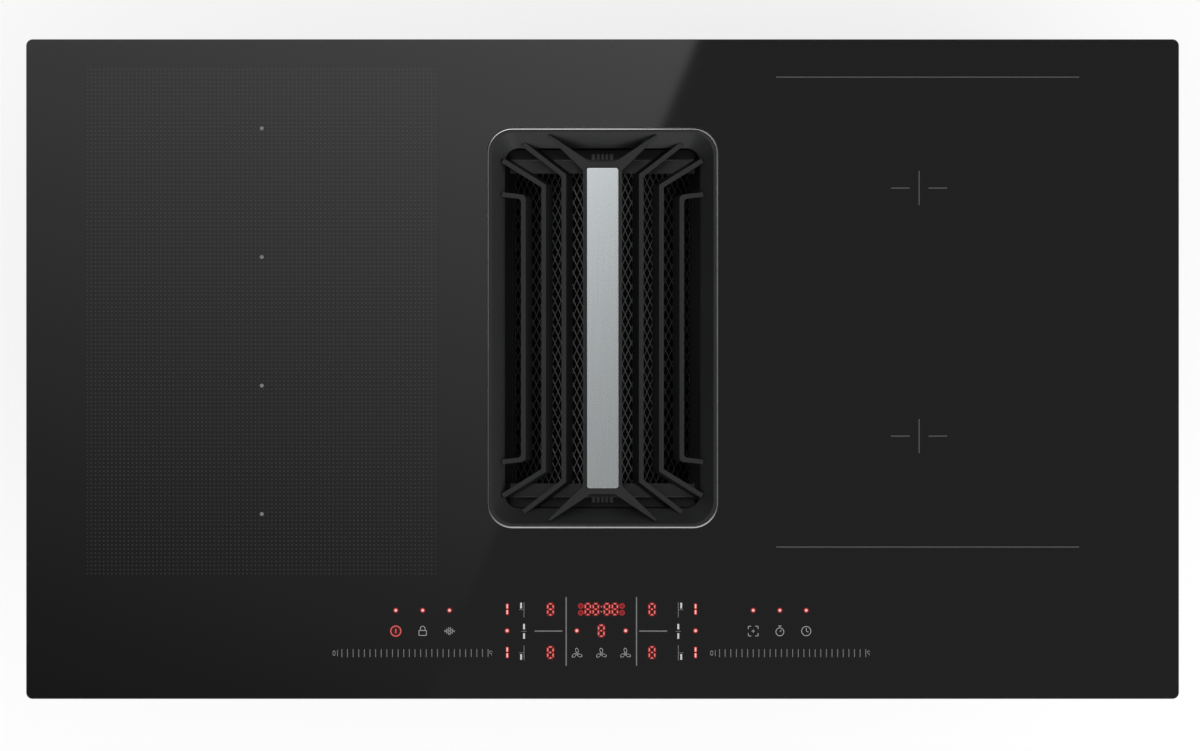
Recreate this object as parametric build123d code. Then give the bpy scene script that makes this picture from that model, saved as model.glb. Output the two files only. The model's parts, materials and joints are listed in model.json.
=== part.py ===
from build123d import *
import os
from math import atan2, cos, degrees, hypot, pi, radians, sin, sqrt

# A built-in induction cooktop with its own downdraft extractor.
# Millimetres. X runs to the right, Y to the rear, Z up. The origin is at the centre of the
# glass, on the worktop surface that the rim seal lies on.

# ---- driving dimensions: glass and rim ----
glass_length = 900
glass_depth = 515
glass_thickness = 4
glass_corner = 5
glass_bevel = 0.6
seal_thickness = 2
seal_width = 9
seal_inset = 1

# ---- casing tub under the glass ----
tub_depth = 57
tub_sheet = 1.0
tub_flange = 5
tub_gap = 2
tub_corner = 6
vent_count = 6
vent_width = 4
vent_length = 60
vent_pitch = 11

# ---- intake in the middle of the glass ----
intake_y = 32
opening_width = 153
opening_depth = 282
opening_corner = 11
slope_width = 10.2
slope_end = 11.7
rim_land = 1.9
rim_corner_cut = 3
slope_lift = 1
rim_gap = 0.4
trim_wall = 1.0
trim_rise = 1.2
trim_flange = 8
trim_sheet = 1.0
ledge_width = 6
ring_rise = 1.0
ring_bottom_gap = 9
skirt_wall = 2.5
skirt_depth = 9

# ---- bars over the intake ----
bar_width = 3.6
bar_top = 1.3
bar_height = 13
bar_lean = 5
lug_thickness = 2.5
notch_gap = 0.3
bar_a = dict(offset=30.3, bend=119.4, tip_x=62.1, tip_y=144.0)
bar_b = dict(offset=46.1, bend=111.2, tip_x=78.1, tip_y=131.1)
bar_c = dict(offset=62.0, bend=102.6, tip_x=78.8, tip_y=104.6)
strip_width = 25
strip_length = 250
strip_thickness = 4
strip_bevel = 0.8
strip_over = 2.3
strip_proud = 1.7
holder_wall = 2.8
holder_end = 4.5
holder_drop = 12
arm_root = 9
arm_tip = 1.6
arm_tip_x = 41.8
arm_tip_y = 150.0
holder_gap = 0.2

# ---- grease filter ----
filter_gap = 4.5
filter_half = 72.6
filter_depth = 266
filter_fall = 60
filter_sheet = 1.0
ridge_width = 10
ridge_thickness = 3
filter_rail = 12
filter_foot = 3.5
filter_lip = 5
filter_flange = 11
mesh_thickness = 1.2
mesh_pitch_x = 8
mesh_pitch_y = 17
mesh_strand = 1.4
mesh_border = 9
latch_width = 17
latch_depth = 4.2
latch_height = 6.8
latch_grooves = 4
latch_drop = 1
groove_width = 1.2
fit_gap = 0.2

# ---- intake shaft, sump and tray ----
collar_gap = 2
collar_wall = 4
collar_depth = 16
shaft_wall = 2.5
throat_gap = 1
shaft_seal = 2
ledge_thickness = 3
ledge_root = 0.5
flange_plate = 3
flange_reach = 9
hole_gap = 1
total_depth = 218
sump_height = 69
sump_floor = 3
joint_reach = 8
plenum_half = 82
plenum_reach = 85
lid_thickness = 3
tray_gap = 7
tray_wall = 2
tray_height = 24
tray_front = 3
tray_run = 0.3
slot_gap = 2
handle_reach = 14
handle_length = 70
handle_corner = 2
runner_height = 2
runner_width = 6

# ---- extractor fan ----
impeller_radius = 84
blade_inner = 67
blade_count = 32
blade_thickness = 1.5
blade_lead = 14
blade_edge = 1
impeller_ring = 3
scroll_wall = 2.5
scroll_start = 20
scroll_growth = 12
scroll_gap = 5
scroll_flange = 7
scroll_lip = 2.5
fan_gap = 1
outlet_run = 118
inlet_radius = 60
inlet_lip = 1.5
inlet_flange = 14
inlet_plate = 2
inlet_overlap = 3
hub_wall = 2
hub_depth = 44
rotor_radius = 45.5
rotor_wall = 3
rotor_depth = 36
back_gap = 3
stator_radius = 41
stator_height = 22
stator_lift = 2
bearing_radius = 11
bearing_width = 7
bearing_tube_wall = 1.5
bearing_seat = 1
bearing_drop = 2
shaft_radius = 4
shaft_head = 3
shaft_head_radius = 7.2
shaft_foot = 4
shaft_clear = 2
running_gap = 0.03
motor_plate = 3
motor_plate_radius = 54
buffer_radius = 8
buffer_share = 0.56

# ---- outlet ----
outlet_depth = 55
outlet_end_gap = 7.5
spigot_radius = 74.5
spigot_wall = 2
spigot_length = 65
spigot_flange = 6
box_wall = 2.5
box_side = 9.5
box_gap = 3
box_floor_gap = 2
flap_gap = 0.7
flap_thickness = 1.6
pin_radius = 2
pin_hole_gap = 0.05
pin_end_gap = 0.5
sleeve_wall = 2
sleeve_gap = 0.4
sleeve_count = 4
pin_back = 7

# ---- cooking zones ----
mica_thickness = 0.6
former_thickness = 5
coil_thickness = 3.5
coil_floor = 0.8
coil_round = 0.3
ferrite_thickness = 5
ferrite_width = 12
ferrite_count = 4
tray_plate = 2
tray_corner = 4
tray_side_gap = 24
tray_centre_gap = 27
tray_rear_gap = 3
control_depth = 75
flex_count = 4
flex_gap = 3
flex_side = 8
coil_margin = 6
round_shift = 8
round_side = 12
round_inner = 32
sensor_radius = 5
sensor_gap = 1
post_radius = 6
post_bore = 3
post_inset = 12

# ---- electronics ----
board_width = 190
board_depth = 240
board_thickness = 1.6
board_lift = 8
board_corner = 2
standoff_radius = 3
standoff_inset = 8
sink_width = 56
sink_depth = 190
sink_height = 22
sink_base = 4
fin_count = 8
fin_thickness = 1.5
capacitor_radius = 9
capacitor_height = 20
choke_size = 26
cooler_size = 80
cooler_height = 22
cooler_bore = 37
cooler_hub = 15
cooler_blades = 7
cooler_base = 3
cooler_pin = 1.5
cooler_corner = 5
cooler_strut = 4
cooler_gap = 1.5
cooler_chord = 18
cooler_pitch = 55
panel_length = 440
panel_depth = 62
panel_edge = 8
panel_drop = 8
display_height = 6
display_x = 40
display_rear = 13
display_middle = -3.5
display_front = -20.7
digit_width = 14
digit_depth = 15
timer_width = 44
timer_depth = 14
pad_radius = 5
pad_pitch = 20.9
pad_x = 139.5
pad_y = -4
fan_pad_pitch = 19
slider_length = 124
slider_depth = 12
slider_x = 147.5
slider_y = -21.2
terminal_length = 60
terminal_width = 26
terminal_height = 22
terminal_count = 5
terminal_wall = 3
terminal_well = 6
terminal_gap = 16
cover_margin = 12
cover_sheet = 2
cover_corner = 3
gland_radius = 12
gland_bore = 6.5
gland_length = 20
gland_step = 2
gland_nut = 6
gland_hex = 3
gland_x = 55
gland_y = 60

# ---- brackets and screws ----
bracket_width = 30
bracket_sheet = 2
bracket_height = 26
bracket_reach = 15.5
bracket_y = 170
screw_radius = 2
screw_head = 3.6
screw_head_height = 1.8
screw_end = 4
screw_pitch = 130
clamp_radius = 3
clamp_length = 34
clamp_thread = 10
clamp_point = 2.4
clamp_edge = 5
clamp_play = 0.05
clamp_head = 8
clamp_head_reach = 1.5

# ---- derived places ----
glass_low = seal_thickness
glass_top = glass_low + glass_thickness
seal_length = glass_length - 2 * seal_inset
seal_depth = glass_depth - 2 * seal_inset
flange_length = seal_length - 2 * seal_width - 2 * tub_gap
flange_depth = seal_depth - 2 * seal_width - 2 * tub_gap
tub_length = flange_length - 2 * tub_flange
tub_width = flange_depth - 2 * tub_flange
tub_bottom = glass_low - tub_depth
tub_floor = tub_bottom + tub_sheet
tub_inner_x = tub_length / 2 - tub_sheet
tub_inner_y = tub_width / 2 - tub_sheet
floor_level = -total_depth

slope_outer_width = opening_width + 2 * slope_width
slope_outer_depth = opening_depth + 2 * slope_end
ring_width = slope_outer_width + 2 * rim_land
ring_depth = slope_outer_depth + 2 * rim_land
ring_corner = opening_corner + slope_width - rim_corner_cut
ring_top = glass_top + ring_rise
ring_bottom = glass_top - ring_bottom_gap
slope_foot = ring_bottom + slope_lift
skirt_bottom = ring_bottom - skirt_depth
skirt_width = opening_width + 2 * skirt_wall
skirt_length = opening_depth + 2 * skirt_wall
well_width = ring_width + 2 * rim_gap
well_depth = ring_depth + 2 * rim_gap
trim_width = well_width + 2 * trim_wall
trim_depth = well_depth + 2 * trim_wall
trim_corner = ring_corner + rim_gap + trim_wall
throat_width = skirt_width + 2 * throat_gap
throat_depth = skirt_length + 2 * throat_gap
strip_top = glass_top + strip_over
strip_bottom = strip_top - strip_thickness
holder_top = strip_top - strip_proud
holder_bottom = holder_top - holder_drop
filter_top = bar_top - bar_height - filter_gap
filter_ledge = filter_top - latch_drop - latch_height
filter_eave = filter_top - filter_fall
filter_bottom = filter_eave - filter_rail
filter_foot_half = filter_half + filter_foot
filter_foot_depth = filter_depth + 2 * filter_lip

collar_width = trim_width + 2 * collar_gap
collar_length = trim_depth + 2 * collar_gap
collar_top = glass_low - trim_sheet - shaft_seal
collar_bottom = collar_top - collar_depth
shaft_width = throat_width + 2 * shaft_wall
shaft_length = throat_depth + 2 * shaft_wall
hole_width = collar_width + 2 * collar_wall + 2 * hole_gap
hole_depth = collar_length + 2 * collar_wall + 2 * hole_gap
cover_width = hole_width + 2 * flange_reach
cover_depth = hole_depth + 2 * flange_reach
sump_top = floor_level + sump_height
lid_top = sump_top + lid_thickness
shaft_bottom = sump_top

spiral_radius = impeller_radius + scroll_start
tongue_radius = spiral_radius - scroll_growth
half_step = scroll_growth / 2
tongue_x = tongue_radius * cos(pi / 4) - half_step
outlet_x = spiral_radius + 2 * scroll_growth + half_step
scroll_left = spiral_radius + half_step + scroll_wall + scroll_flange
fan_x = cover_width / 2 + scroll_left + fan_gap
outlet_y = glass_depth / 2 - outlet_end_gap - spigot_length - outlet_depth
fan_y = outlet_y - outlet_run
scroll_top = tub_bottom - scroll_gap
scroll_bottom = lid_top
scroll_roof = scroll_top - scroll_wall
scroll_ground = scroll_bottom + scroll_wall
scroll_split = (scroll_top + scroll_bottom) / 2
box_x = fan_x + (tongue_x + outlet_x) / 2
box_width = 2 * spigot_radius + 2 * box_side
box_top = tub_bottom - box_gap
box_bottom = floor_level + box_floor_gap
spigot_z = (box_top + box_bottom) / 2
spigot_bore = spigot_radius - spigot_wall
box_rear = outlet_y + outlet_depth
spigot_end = box_rear + spigot_length
pin_y = box_rear + pin_back

zone_width = tub_inner_x - tray_side_gap - hole_width / 2 - tray_centre_gap
zone_x = hole_width / 2 + tray_centre_gap + zone_width / 2
zone_rear = tub_inner_y - tray_rear_gap
zone_front = -tub_inner_y + control_depth
zone_depth = zone_rear - zone_front
zone_y = (zone_rear + zone_front) / 2
flex_pitch = zone_depth / flex_count
flex_width = zone_width - 2 * flex_side
flex_length = flex_pitch - flex_gap
round_pitch = zone_depth / 2 - round_shift
round_radius = zone_depth / 4 - round_side
round_y = zone_y + round_shift
mica_bottom = glass_low - mica_thickness
former_bottom = mica_bottom - former_thickness
ferrite_bottom = former_bottom - ferrite_thickness
plate_bottom = ferrite_bottom - tray_plate
board_bottom = tub_floor + board_lift
board_top = board_bottom + board_thickness
cooler_y = -tub_inner_y + panel_edge + cooler_size / 2
panel_y = -tub_inner_y + panel_edge + panel_depth / 2
panel_top = glass_low - panel_drop


def slab(width, depth, low, high, corner=0.0, x=0.0, y=0.0):
    """Upright slab between two heights, with rounded upright edges where a corner is given."""
    if corner > 0:
        outline = RectangleRounded(width, depth, corner)
    else:
        outline = Rectangle(width, depth)
    return Pos(x, y, low) * extrude(outline, amount=high - low)


def frame(width, depth, wall, low, high, corner=0.0, x=0.0, y=0.0):
    """Closed rectangular wall: a slab less the slab inside it."""
    inner_corner = max(corner - wall, 0.0)
    outer = slab(width, depth, low, high, corner, x, y)
    return outer - slab(width - 2 * wall, depth - 2 * wall, low - 1, high + 1, inner_corner, x, y)


def rod(radius, low, high, x=0.0, y=0.0):
    """Upright cylinder between two heights."""
    return Pos(x, y, low) * extrude(Circle(radius), amount=high - low)


def tube(radius, bore, low, high, x=0.0, y=0.0):
    """Upright tube between two heights."""
    return rod(radius, low, high, x, y) - rod(bore, low - 1, high + 1, x, y)


def at_intake(shape):
    """Shape drawn about the middle of the intake, moved to its place in the glass."""
    return Pos(0, intake_y, 0) * shape


def group(shapes):
    """Separate solids that share one node."""
    return Compound(children=list(shapes))


def mirrored(shape):
    """The same shape on the other side of the YZ plane."""
    return mirror(shape, about=Plane.YZ)


def band(points, widths):
    """Face along straight runs, mitred at its bends, with its own width at each point."""
    sides = ([], [])
    for i, (x, y) in enumerate(points):
        before = points[max(i - 1, 0)]
        after = points[min(i + 1, len(points) - 1)]
        first = atan2(y - before[1], x - before[0]) if i > 0 else None
        second = atan2(after[1] - y, after[0] - x) if i < len(points) - 1 else None
        first = second if first is None else first
        second = first if second is None else second
        middle = atan2(sin(first) + sin(second), cos(first) + cos(second))
        reach = widths[i] / 2 / cos((second - first + pi) % (2 * pi) / 2 - pi / 2)
        for side, sign in zip(sides, (1, -1)):
            side.append((x - sign * reach * sin(middle), y + sign * reach * cos(middle)))
    outline = sides[0] + sides[1][::-1]
    return make_face(Polyline(*outline, close=True))


# ---- glass and rim ----
def glass_plate():
    plate = slab(glass_length, glass_depth, glass_low, glass_top, glass_corner)
    plate = chamfer(plate.faces().sort_by(Axis.Z)[-1].edges(), glass_bevel)
    hole = slab(trim_width + 2 * rim_gap, trim_depth + 2 * rim_gap, glass_low - 1, glass_top + 1,
                trim_corner + rim_gap)
    return plate - at_intake(hole)


def glass_seal():
    return frame(seal_length, seal_depth, seal_width, 0, glass_low, glass_corner)


# ---- casing tub ----
def vents(x, y, turned):
    """Row of slots through the tub floor."""
    slots = []
    for i in range(vent_count):
        place = (i - (vent_count - 1) / 2) * vent_pitch
        size = (vent_length, vent_width) if turned else (vent_width, vent_length)
        where = (x, y + place) if turned else (x + place, y)
        slots.append(slab(*size, tub_bottom - 1, tub_floor + 1, 0.0, *where))
    return slots


def casing_tub():
    walls = frame(tub_length, tub_width, tub_sheet, tub_bottom, glass_low, tub_corner)
    floor = slab(tub_length, tub_width, tub_bottom, tub_floor, tub_corner)
    rim = frame(flange_length, flange_depth, tub_flange + tub_sheet, glass_low - tub_sheet,
                glass_low, tub_corner)
    hole = at_intake(slab(hole_width, hole_depth, tub_bottom - 1, tub_floor + 1, trim_corner))
    tub = walls + floor + rim - hole
    tub -= vents(-zone_x, cooler_y, True) + vents(zone_x, cooler_y, True)
    tub -= rod(gland_radius - gland_step, tub_bottom - 1, tub_floor + 1, *gland_place())
    return tub - casing_screw_holes(tub_bottom - 1, tub_floor + 1)


def gland_place():
    return -tub_inner_x + gland_x, tub_inner_y - gland_y


# ---- intake trim and grille ----
def intake_trim():
    low = ring_bottom - trim_sheet
    wall = frame(trim_width, trim_depth, trim_wall, low, glass_top + trim_rise, trim_corner)
    wall = chamfer(wall.faces().sort_by(Axis.Z)[-1].outer_wire().edges(), trim_wall * 0.5)
    under = frame(trim_width + 2 * trim_flange, trim_depth + 2 * trim_flange,
                  trim_flange + trim_wall, glass_low - trim_sheet, glass_low,
                  trim_corner + trim_flange)
    ledge = frame(trim_width, trim_depth, trim_wall + ledge_width, low, ring_bottom, trim_corner)
    return at_intake(wall + under + ledge)


def bar_points(bar):
    return [(-bar["tip_x"], -bar["tip_y"]), (-bar["offset"], -bar["bend"]),
            (-bar["offset"], bar["bend"]), (-bar["tip_x"], bar["tip_y"])]


def arm_lines():
    """The four tapered arms from the corners of the strip holder to the ring."""
    half_width = strip_width / 2 + holder_wall
    half_length = strip_length / 2 + holder_end
    for across in (-1, 1):
        for along in (-1, 1):
            root = (across * (half_width - arm_root / 2), along * (half_length - arm_root / 2))
            yield [root, (across * arm_tip_x, along * arm_tip_y)]


def opening_prism(inset, low, high):
    return slab(opening_width - 2 * inset, opening_depth - 2 * inset, low, high,
                opening_corner - inset)


def grille_ring():
    body = slab(ring_width, ring_depth, ring_bottom, ring_top, ring_corner)
    body += slab(skirt_width, skirt_length, skirt_bottom, ring_bottom, opening_corner)
    body -= opening_prism(0, skirt_bottom - 1, ring_top + 1)
    foot = Pos(0, 0, slope_foot) * RectangleRounded(opening_width, opening_depth, opening_corner)
    head = Pos(0, 0, ring_top) * RectangleRounded(slope_outer_width, slope_outer_depth,
                                                  ring_corner)
    body -= loft([foot.face(), head.face()])
    notch = bar_width + 2 * notch_gap
    for bar in (bar_a, bar_b, bar_c):
        pocket = extrude(band(bar_points(bar), [notch] * 4), amount=ring_top + 1 - bar_top
                         + lug_thickness)
        pocket = Pos(0, 0, bar_top - lug_thickness) * pocket
        body -= [pocket, mirrored(pocket)]
    for line in arm_lines():
        widths = [arm_root + 2 * notch_gap, arm_tip + 2 * notch_gap]
        pocket = extrude(band(line, widths), amount=ring_top + 1 - holder_top + lug_thickness)
        body -= Pos(0, 0, holder_top - lug_thickness) * pocket
    return at_intake(body)


def grille_bar(bar):
    """Leaning blade that fills the height inside the opening, with a flat lug at each end."""
    outline = band(bar_points(bar), [bar_width] * 4)
    length = hypot(bar_lean, bar_height)
    lean = Vector(bar_lean / length, 0, -bar_height / length)
    blade = Pos(0, 0, bar_top) * extrude(outline, amount=length, dir=lean)
    blade = blade & opening_prism(notch_gap, bar_top - bar_height - 1, bar_top + 1)
    lug = Pos(0, 0, bar_top - lug_thickness) * extrude(outline, amount=lug_thickness)
    return blade + lug


def grille_bars():
    return [at_intake(grille_bar(bar)) for bar in (bar_a, bar_b, bar_c)]


def strip_holder():
    width = strip_width + 2 * holder_wall
    length = strip_length + 2 * holder_end
    body = slab(width, length, holder_bottom, holder_top)
    for line in arm_lines():
        outline = band(line, [arm_root, arm_tip])
        blade = Pos(0, 0, holder_bottom) * extrude(outline, amount=holder_drop)
        body += blade & opening_prism(notch_gap, holder_bottom - 1, holder_top + 1)
        lug = extrude(outline, amount=lug_thickness)
        body += Pos(0, 0, holder_top - lug_thickness) * lug
    pocket = slab(strip_width + 2 * holder_gap, strip_length + 2 * holder_gap, strip_bottom,
                  holder_top + 1)
    return at_intake(body - pocket)


def grille_strip():
    strip = slab(strip_width, strip_length, strip_bottom, strip_top)
    return at_intake(chamfer(strip.faces().sort_by(Axis.Z)[-1].edges(), strip_bevel))


# ---- grease filter ----
def filter_frame():
    """Cassette: side rails, a ridge, a foot frame, and end walls with a flange and a ledge."""
    half = filter_half
    body = slab(ridge_width, filter_depth, filter_top - ridge_thickness, filter_top)
    for along in (-1, 1):
        end_y = along * filter_depth / 2
        body += slab(2 * half, filter_sheet, filter_bottom, filter_top, 0.0,
                     0, end_y - along * filter_sheet / 2)
        body += slab(2 * half, filter_flange, filter_top - filter_sheet, filter_top, 0.0,
                     0, end_y - along * filter_flange / 2)
        body += slab(2 * half, filter_lip, filter_ledge - filter_sheet, filter_ledge, 0.0,
                     0, end_y + along * filter_lip / 2)
    body += frame(2 * half, filter_depth, filter_sheet, filter_bottom, filter_eave)
    body += frame(2 * filter_foot_half, filter_foot_depth, filter_lip + filter_rail / 2,
                  filter_bottom - filter_sheet, filter_bottom)
    body += slab(filter_rail / 2, filter_depth, filter_bottom - filter_sheet, filter_bottom)
    return at_intake(body)


def filter_mesh(side):
    """Slanting sheet of open diamonds from the ridge down to one side rail."""
    top = (ridge_width / 2 + fit_gap + mesh_thickness, filter_top - mesh_thickness)
    low = (filter_half - filter_sheet - fit_gap - mesh_thickness, filter_eave)
    length = hypot(low[0] - top[0], low[1] - top[1])
    depth = filter_depth - 2 * filter_sheet - 2 * fit_gap
    columns = int((length - 2 * mesh_border) / mesh_pitch_x)
    rows = int((depth - 2 * mesh_border) / mesh_pitch_y)
    half_x = (mesh_pitch_x - mesh_strand) / 2
    half_y = (mesh_pitch_y - 2 * mesh_strand) / 2
    diamond = make_face(Polyline((half_x, 0), (0, half_y), (-half_x, 0), (0, -half_y), close=True))
    holes = []
    for shift, count_x, count_y in ((0, columns, rows), (1, columns - 1, rows - 1)):
        holes += [place * diamond for place in
                  GridLocations(mesh_pitch_x, mesh_pitch_y, count_x, count_y)]
    sheet = Rectangle(length, depth) - holes
    turn = degrees(atan2(top[1] - low[1], low[0] - top[0]))
    panel = Rot(0, turn, 0) * extrude(sheet, amount=-mesh_thickness)
    panel = Pos((top[0] + low[0]) / 2, 0, (top[1] + low[1]) / 2) * panel
    return at_intake(panel if side > 0 else mirrored(panel))


def filter_latches():
    latches = []
    for along in (-1, 1):
        y = along * (filter_depth / 2 + latch_depth / 2)
        top = filter_ledge + latch_height
        latch = slab(latch_width, latch_depth, filter_ledge, top, 0.0, 0, y)
        pitch = latch_width / (latch_grooves + 1)
        for i in range(latch_grooves):
            x = (i - (latch_grooves - 1) / 2) * pitch
            latch -= slab(groove_width, latch_depth + 2, top - groove_width, top + 1, 0.0, x, y)
        latches.append(at_intake(latch))
    return group(latches)


# ---- shaft, sump, tray ----
def duct_seal():
    return at_intake(frame(collar_width + 2 * collar_wall, collar_length + 2 * collar_wall,
                           collar_wall, collar_top, collar_top + shaft_seal,
                           trim_corner + collar_gap + collar_wall))


def intake_shaft():
    corner = trim_corner + collar_gap + collar_wall
    body = slab(collar_width + 2 * collar_wall, collar_length + 2 * collar_wall,
                collar_bottom - collar_wall, collar_top, corner)
    body += slab(shaft_width, shaft_length, shaft_bottom, collar_bottom, opening_corner)
    body += slab(cover_width, cover_depth, tub_bottom - flange_plate, tub_bottom, trim_corner)
    body += slab(shaft_width + 2 * joint_reach, shaft_length + 2 * joint_reach, shaft_bottom,
                 shaft_bottom + lid_thickness)
    body -= slab(collar_width, collar_length, collar_bottom, collar_top + 1,
                 corner - collar_wall)
    body -= slab(throat_width, throat_depth, shaft_bottom - 1, collar_bottom + 1,
                 opening_corner)
    shelf_top = filter_bottom - filter_sheet
    shelf = frame(throat_width + 2 * ledge_root, throat_depth + 2 * ledge_root,
                  throat_width / 2 + ledge_root - filter_half, shelf_top - ledge_thickness, shelf_top)
    return at_intake(body + shelf) - casing_screw_holes(tub_bottom - flange_plate - 1,
                                                        tub_bottom + 1)


def sump_outline(grow):
    """Footprint of the sump: the shaft's foot joined to the fan's inlet chamber."""
    foot = Pos(0, intake_y) * Rectangle(shaft_width + 2 * grow, shaft_length + 2 * grow)
    right = fan_x + plenum_reach + grow
    chamber = Pos(right / 2, fan_y) * Rectangle(right, 2 * (plenum_half + grow))
    return foot + chamber


def tray_sizes():
    width = throat_width - 2 * tray_gap
    depth = throat_depth - 2 * tray_gap
    low = floor_level + sump_floor + runner_height + tray_run
    return width, depth, low


def sump_shell():
    width, depth, low = tray_sizes()
    body = Pos(0, 0, floor_level) * extrude(sump_outline(0), amount=sump_height)
    rim = extrude(sump_outline(joint_reach), amount=lid_thickness)
    body += Pos(0, 0, sump_top - lid_thickness) * rim
    cavity = extrude(sump_outline(-shaft_wall), amount=sump_height)
    body -= Pos(0, 0, floor_level + sump_floor) * cavity
    front = intake_y - shaft_length / 2
    body -= slab(width + 2 * slot_gap, 4 * shaft_wall, low - slot_gap,
                 low + tray_height + slot_gap, 0.0, 0, front)
    for x in (-width / 3, width / 3):
        body += slab(runner_width, throat_depth - 2 * slot_gap, floor_level + sump_floor,
                     low - tray_run, 0.0, x, intake_y)
    return body


def plenum_lid():
    left = shaft_width / 2 + joint_reach
    right = fan_x + plenum_reach + joint_reach
    plate = slab(right - left, 2 * (plenum_half + joint_reach), sump_top, lid_top, 0.0,
                 (left + right) / 2, fan_y)
    return plate - rod(inlet_radius + inlet_flange / 2, sump_top - 1, lid_top + 1, fan_x, fan_y)


def drip_tray():
    width, depth, low = tray_sizes()
    body = slab(width, depth, low, low + tray_height, tray_wall * 2)
    body -= slab(width - 2 * tray_wall, depth - 2 * tray_wall, low + tray_wall,
                 low + tray_height + 1, tray_wall)
    face_y = -shaft_length / 2 - tray_run - tray_front / 2
    body += slab(width + 4 * slot_gap, tray_front, low - slot_gap,
                 low + tray_height + 2 * slot_gap, 0.0, 0, face_y)
    neck_depth = face_y + depth / 2
    body += slab(width, abs(neck_depth), low, low + tray_height, 0.0, 0,
                 -depth / 2 - abs(neck_depth) / 2)
    body += slab(handle_length, handle_reach, low + tray_height - tray_front,
                 low + tray_height, handle_corner, 0, face_y - handle_reach / 2)
    return at_intake(body)


# ---- extractor fan ----
def scroll_outline(wall):
    """Spiral of four quarter arcs about the corners of a small square, run out to the outlet."""
    s = half_step

    def quarter(cx, cy, radius, start, end):
        points = [(fan_x + cx + radius * cos(radians(a)), fan_y + cy + radius * sin(radians(a)))
                  for a in (start, (start + end) / 2, end)]
        return ThreePointArc(*points)

    tip = tongue_radius + wall
    inner_x = tongue_x - wall
    tip_angle = degrees(atan2(sqrt(tip ** 2 - (inner_x + s) ** 2), inner_x + s))
    arcs = [quarter(s, s, spiral_radius + 2 * scroll_growth + wall, 0, -90),
            quarter(s, -s, spiral_radius + scroll_growth + wall, -90, -180),
            quarter(-s, -s, spiral_radius + wall, 180, 90),
            quarter(-s, s, tip, 90, tip_angle)]
    right = fan_x + outlet_x + wall
    left = fan_x + inner_x
    lines = Polyline(arcs[-1] @ 1, (left, outlet_y), (right, outlet_y), arcs[0] @ 0)
    return make_face(arcs + [lines])


def scroll_half(low, high, floor, lip_low):
    shell = Pos(0, 0, low) * extrude(scroll_outline(scroll_wall), amount=high - low)
    lip = extrude(scroll_outline(scroll_wall + scroll_flange), amount=scroll_lip)
    outlet = slab(4 * outlet_x, 4 * scroll_flange, low - 1, high + 1, 0.0, fan_x,
                  outlet_y + 2 * scroll_flange)
    shell += Pos(0, 0, lip_low) * lip - outlet
    inner = extrude(scroll_outline(0), amount=high - low)
    return shell - Pos(0, 0, floor) * inner


def scroll_lower():
    shell = scroll_half(scroll_bottom, scroll_split, scroll_ground, scroll_split - scroll_lip)
    return shell - rod(inlet_radius + inlet_flange / 2, scroll_bottom - 1, scroll_ground + 1,
                       fan_x, fan_y)


def scroll_upper():
    shell = scroll_half(scroll_split, scroll_top, scroll_split - scroll_wall, scroll_split)
    return shell - rod(shaft_radius * 2, scroll_roof - 1, scroll_top + 1, fan_x, fan_y)


def turned(points):
    """Ring turned about the fan's axis from a profile of radius and height."""
    face = make_face(Plane.XZ * Polyline(*points, close=True))
    return Pos(fan_x, fan_y, 0) * revolve(face, axis=Axis.Z)


def inlet_ring():
    lip_top = scroll_ground + impeller_ring + inlet_overlap
    outer = inlet_radius + inlet_flange
    return turned([(inlet_radius, scroll_ground), (inlet_radius, lip_top),
                   (inlet_radius + inlet_lip, lip_top),
                   (inlet_radius + inlet_lip, scroll_ground + inlet_plate),
                   (outer, scroll_ground + inlet_plate),
                   (outer, scroll_ground)])


def impeller():
    ring_low = scroll_ground + impeller_ring
    ring_high = ring_low + impeller_ring
    back_high = scroll_roof - motor_plate - back_gap
    back_low = back_high - impeller_ring
    cup_low = back_high - hub_depth
    cup_radius = rotor_radius + hub_wall
    wheel = tube(impeller_radius, blade_inner, ring_low, ring_high)
    wheel += tube(impeller_radius, rotor_radius, back_low, back_high)
    wheel += tube(cup_radius, rotor_radius, cup_low, back_high)
    wheel += tube(cup_radius, shaft_radius, cup_low, cup_low + hub_wall)
    inner = blade_inner + blade_edge
    outer = impeller_radius - blade_edge
    lead = radians(blade_lead)
    blade = band([(inner, 0), ((inner + outer) / 2 * cos(lead / 3), (inner + outer) / 2
                               * sin(lead / 3)), (outer * cos(lead), outer * sin(lead))],
                 [blade_thickness] * 3)
    blade = Pos(0, 0, ring_high) * extrude(blade, amount=back_low - ring_high)
    wheel += [Rot(0, 0, i * 360 / blade_count) * blade for i in range(blade_count)]
    return Pos(fan_x, fan_y, 0) * wheel


def rotor_levels():
    back_high = scroll_roof - motor_plate - back_gap
    low = back_high - hub_depth + hub_wall
    return low, low + rotor_depth


def motor_rotor():
    low, high = rotor_levels()
    cup = tube(rotor_radius, rotor_radius - rotor_wall, low, high, fan_x, fan_y)
    return cup + tube(rotor_radius, shaft_radius, low, low + hub_wall, fan_x, fan_y)


def motor_shaft():
    low = rotor_levels()[0] - hub_wall - shaft_foot
    high = scroll_roof - motor_plate - shaft_clear
    shaft = rod(shaft_radius - running_gap, low, high, fan_x, fan_y)
    head = low + shaft_foot
    return shaft + rod(shaft_head_radius, head - shaft_head, head, fan_x, fan_y)


def stator_levels():
    low, high = rotor_levels()
    middle = (low + high) / 2 + stator_lift
    return middle - stator_height / 2, middle + stator_height / 2


def motor_flange():
    plate = rod(motor_plate_radius, scroll_roof - motor_plate, scroll_roof, fan_x, fan_y)
    low = stator_levels()[0]
    post = rod(bearing_radius + bearing_tube_wall, low, scroll_roof, fan_x, fan_y)
    return plate + post - rod(bearing_radius, low - 1, scroll_roof - bearing_seat, fan_x, fan_y)


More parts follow.
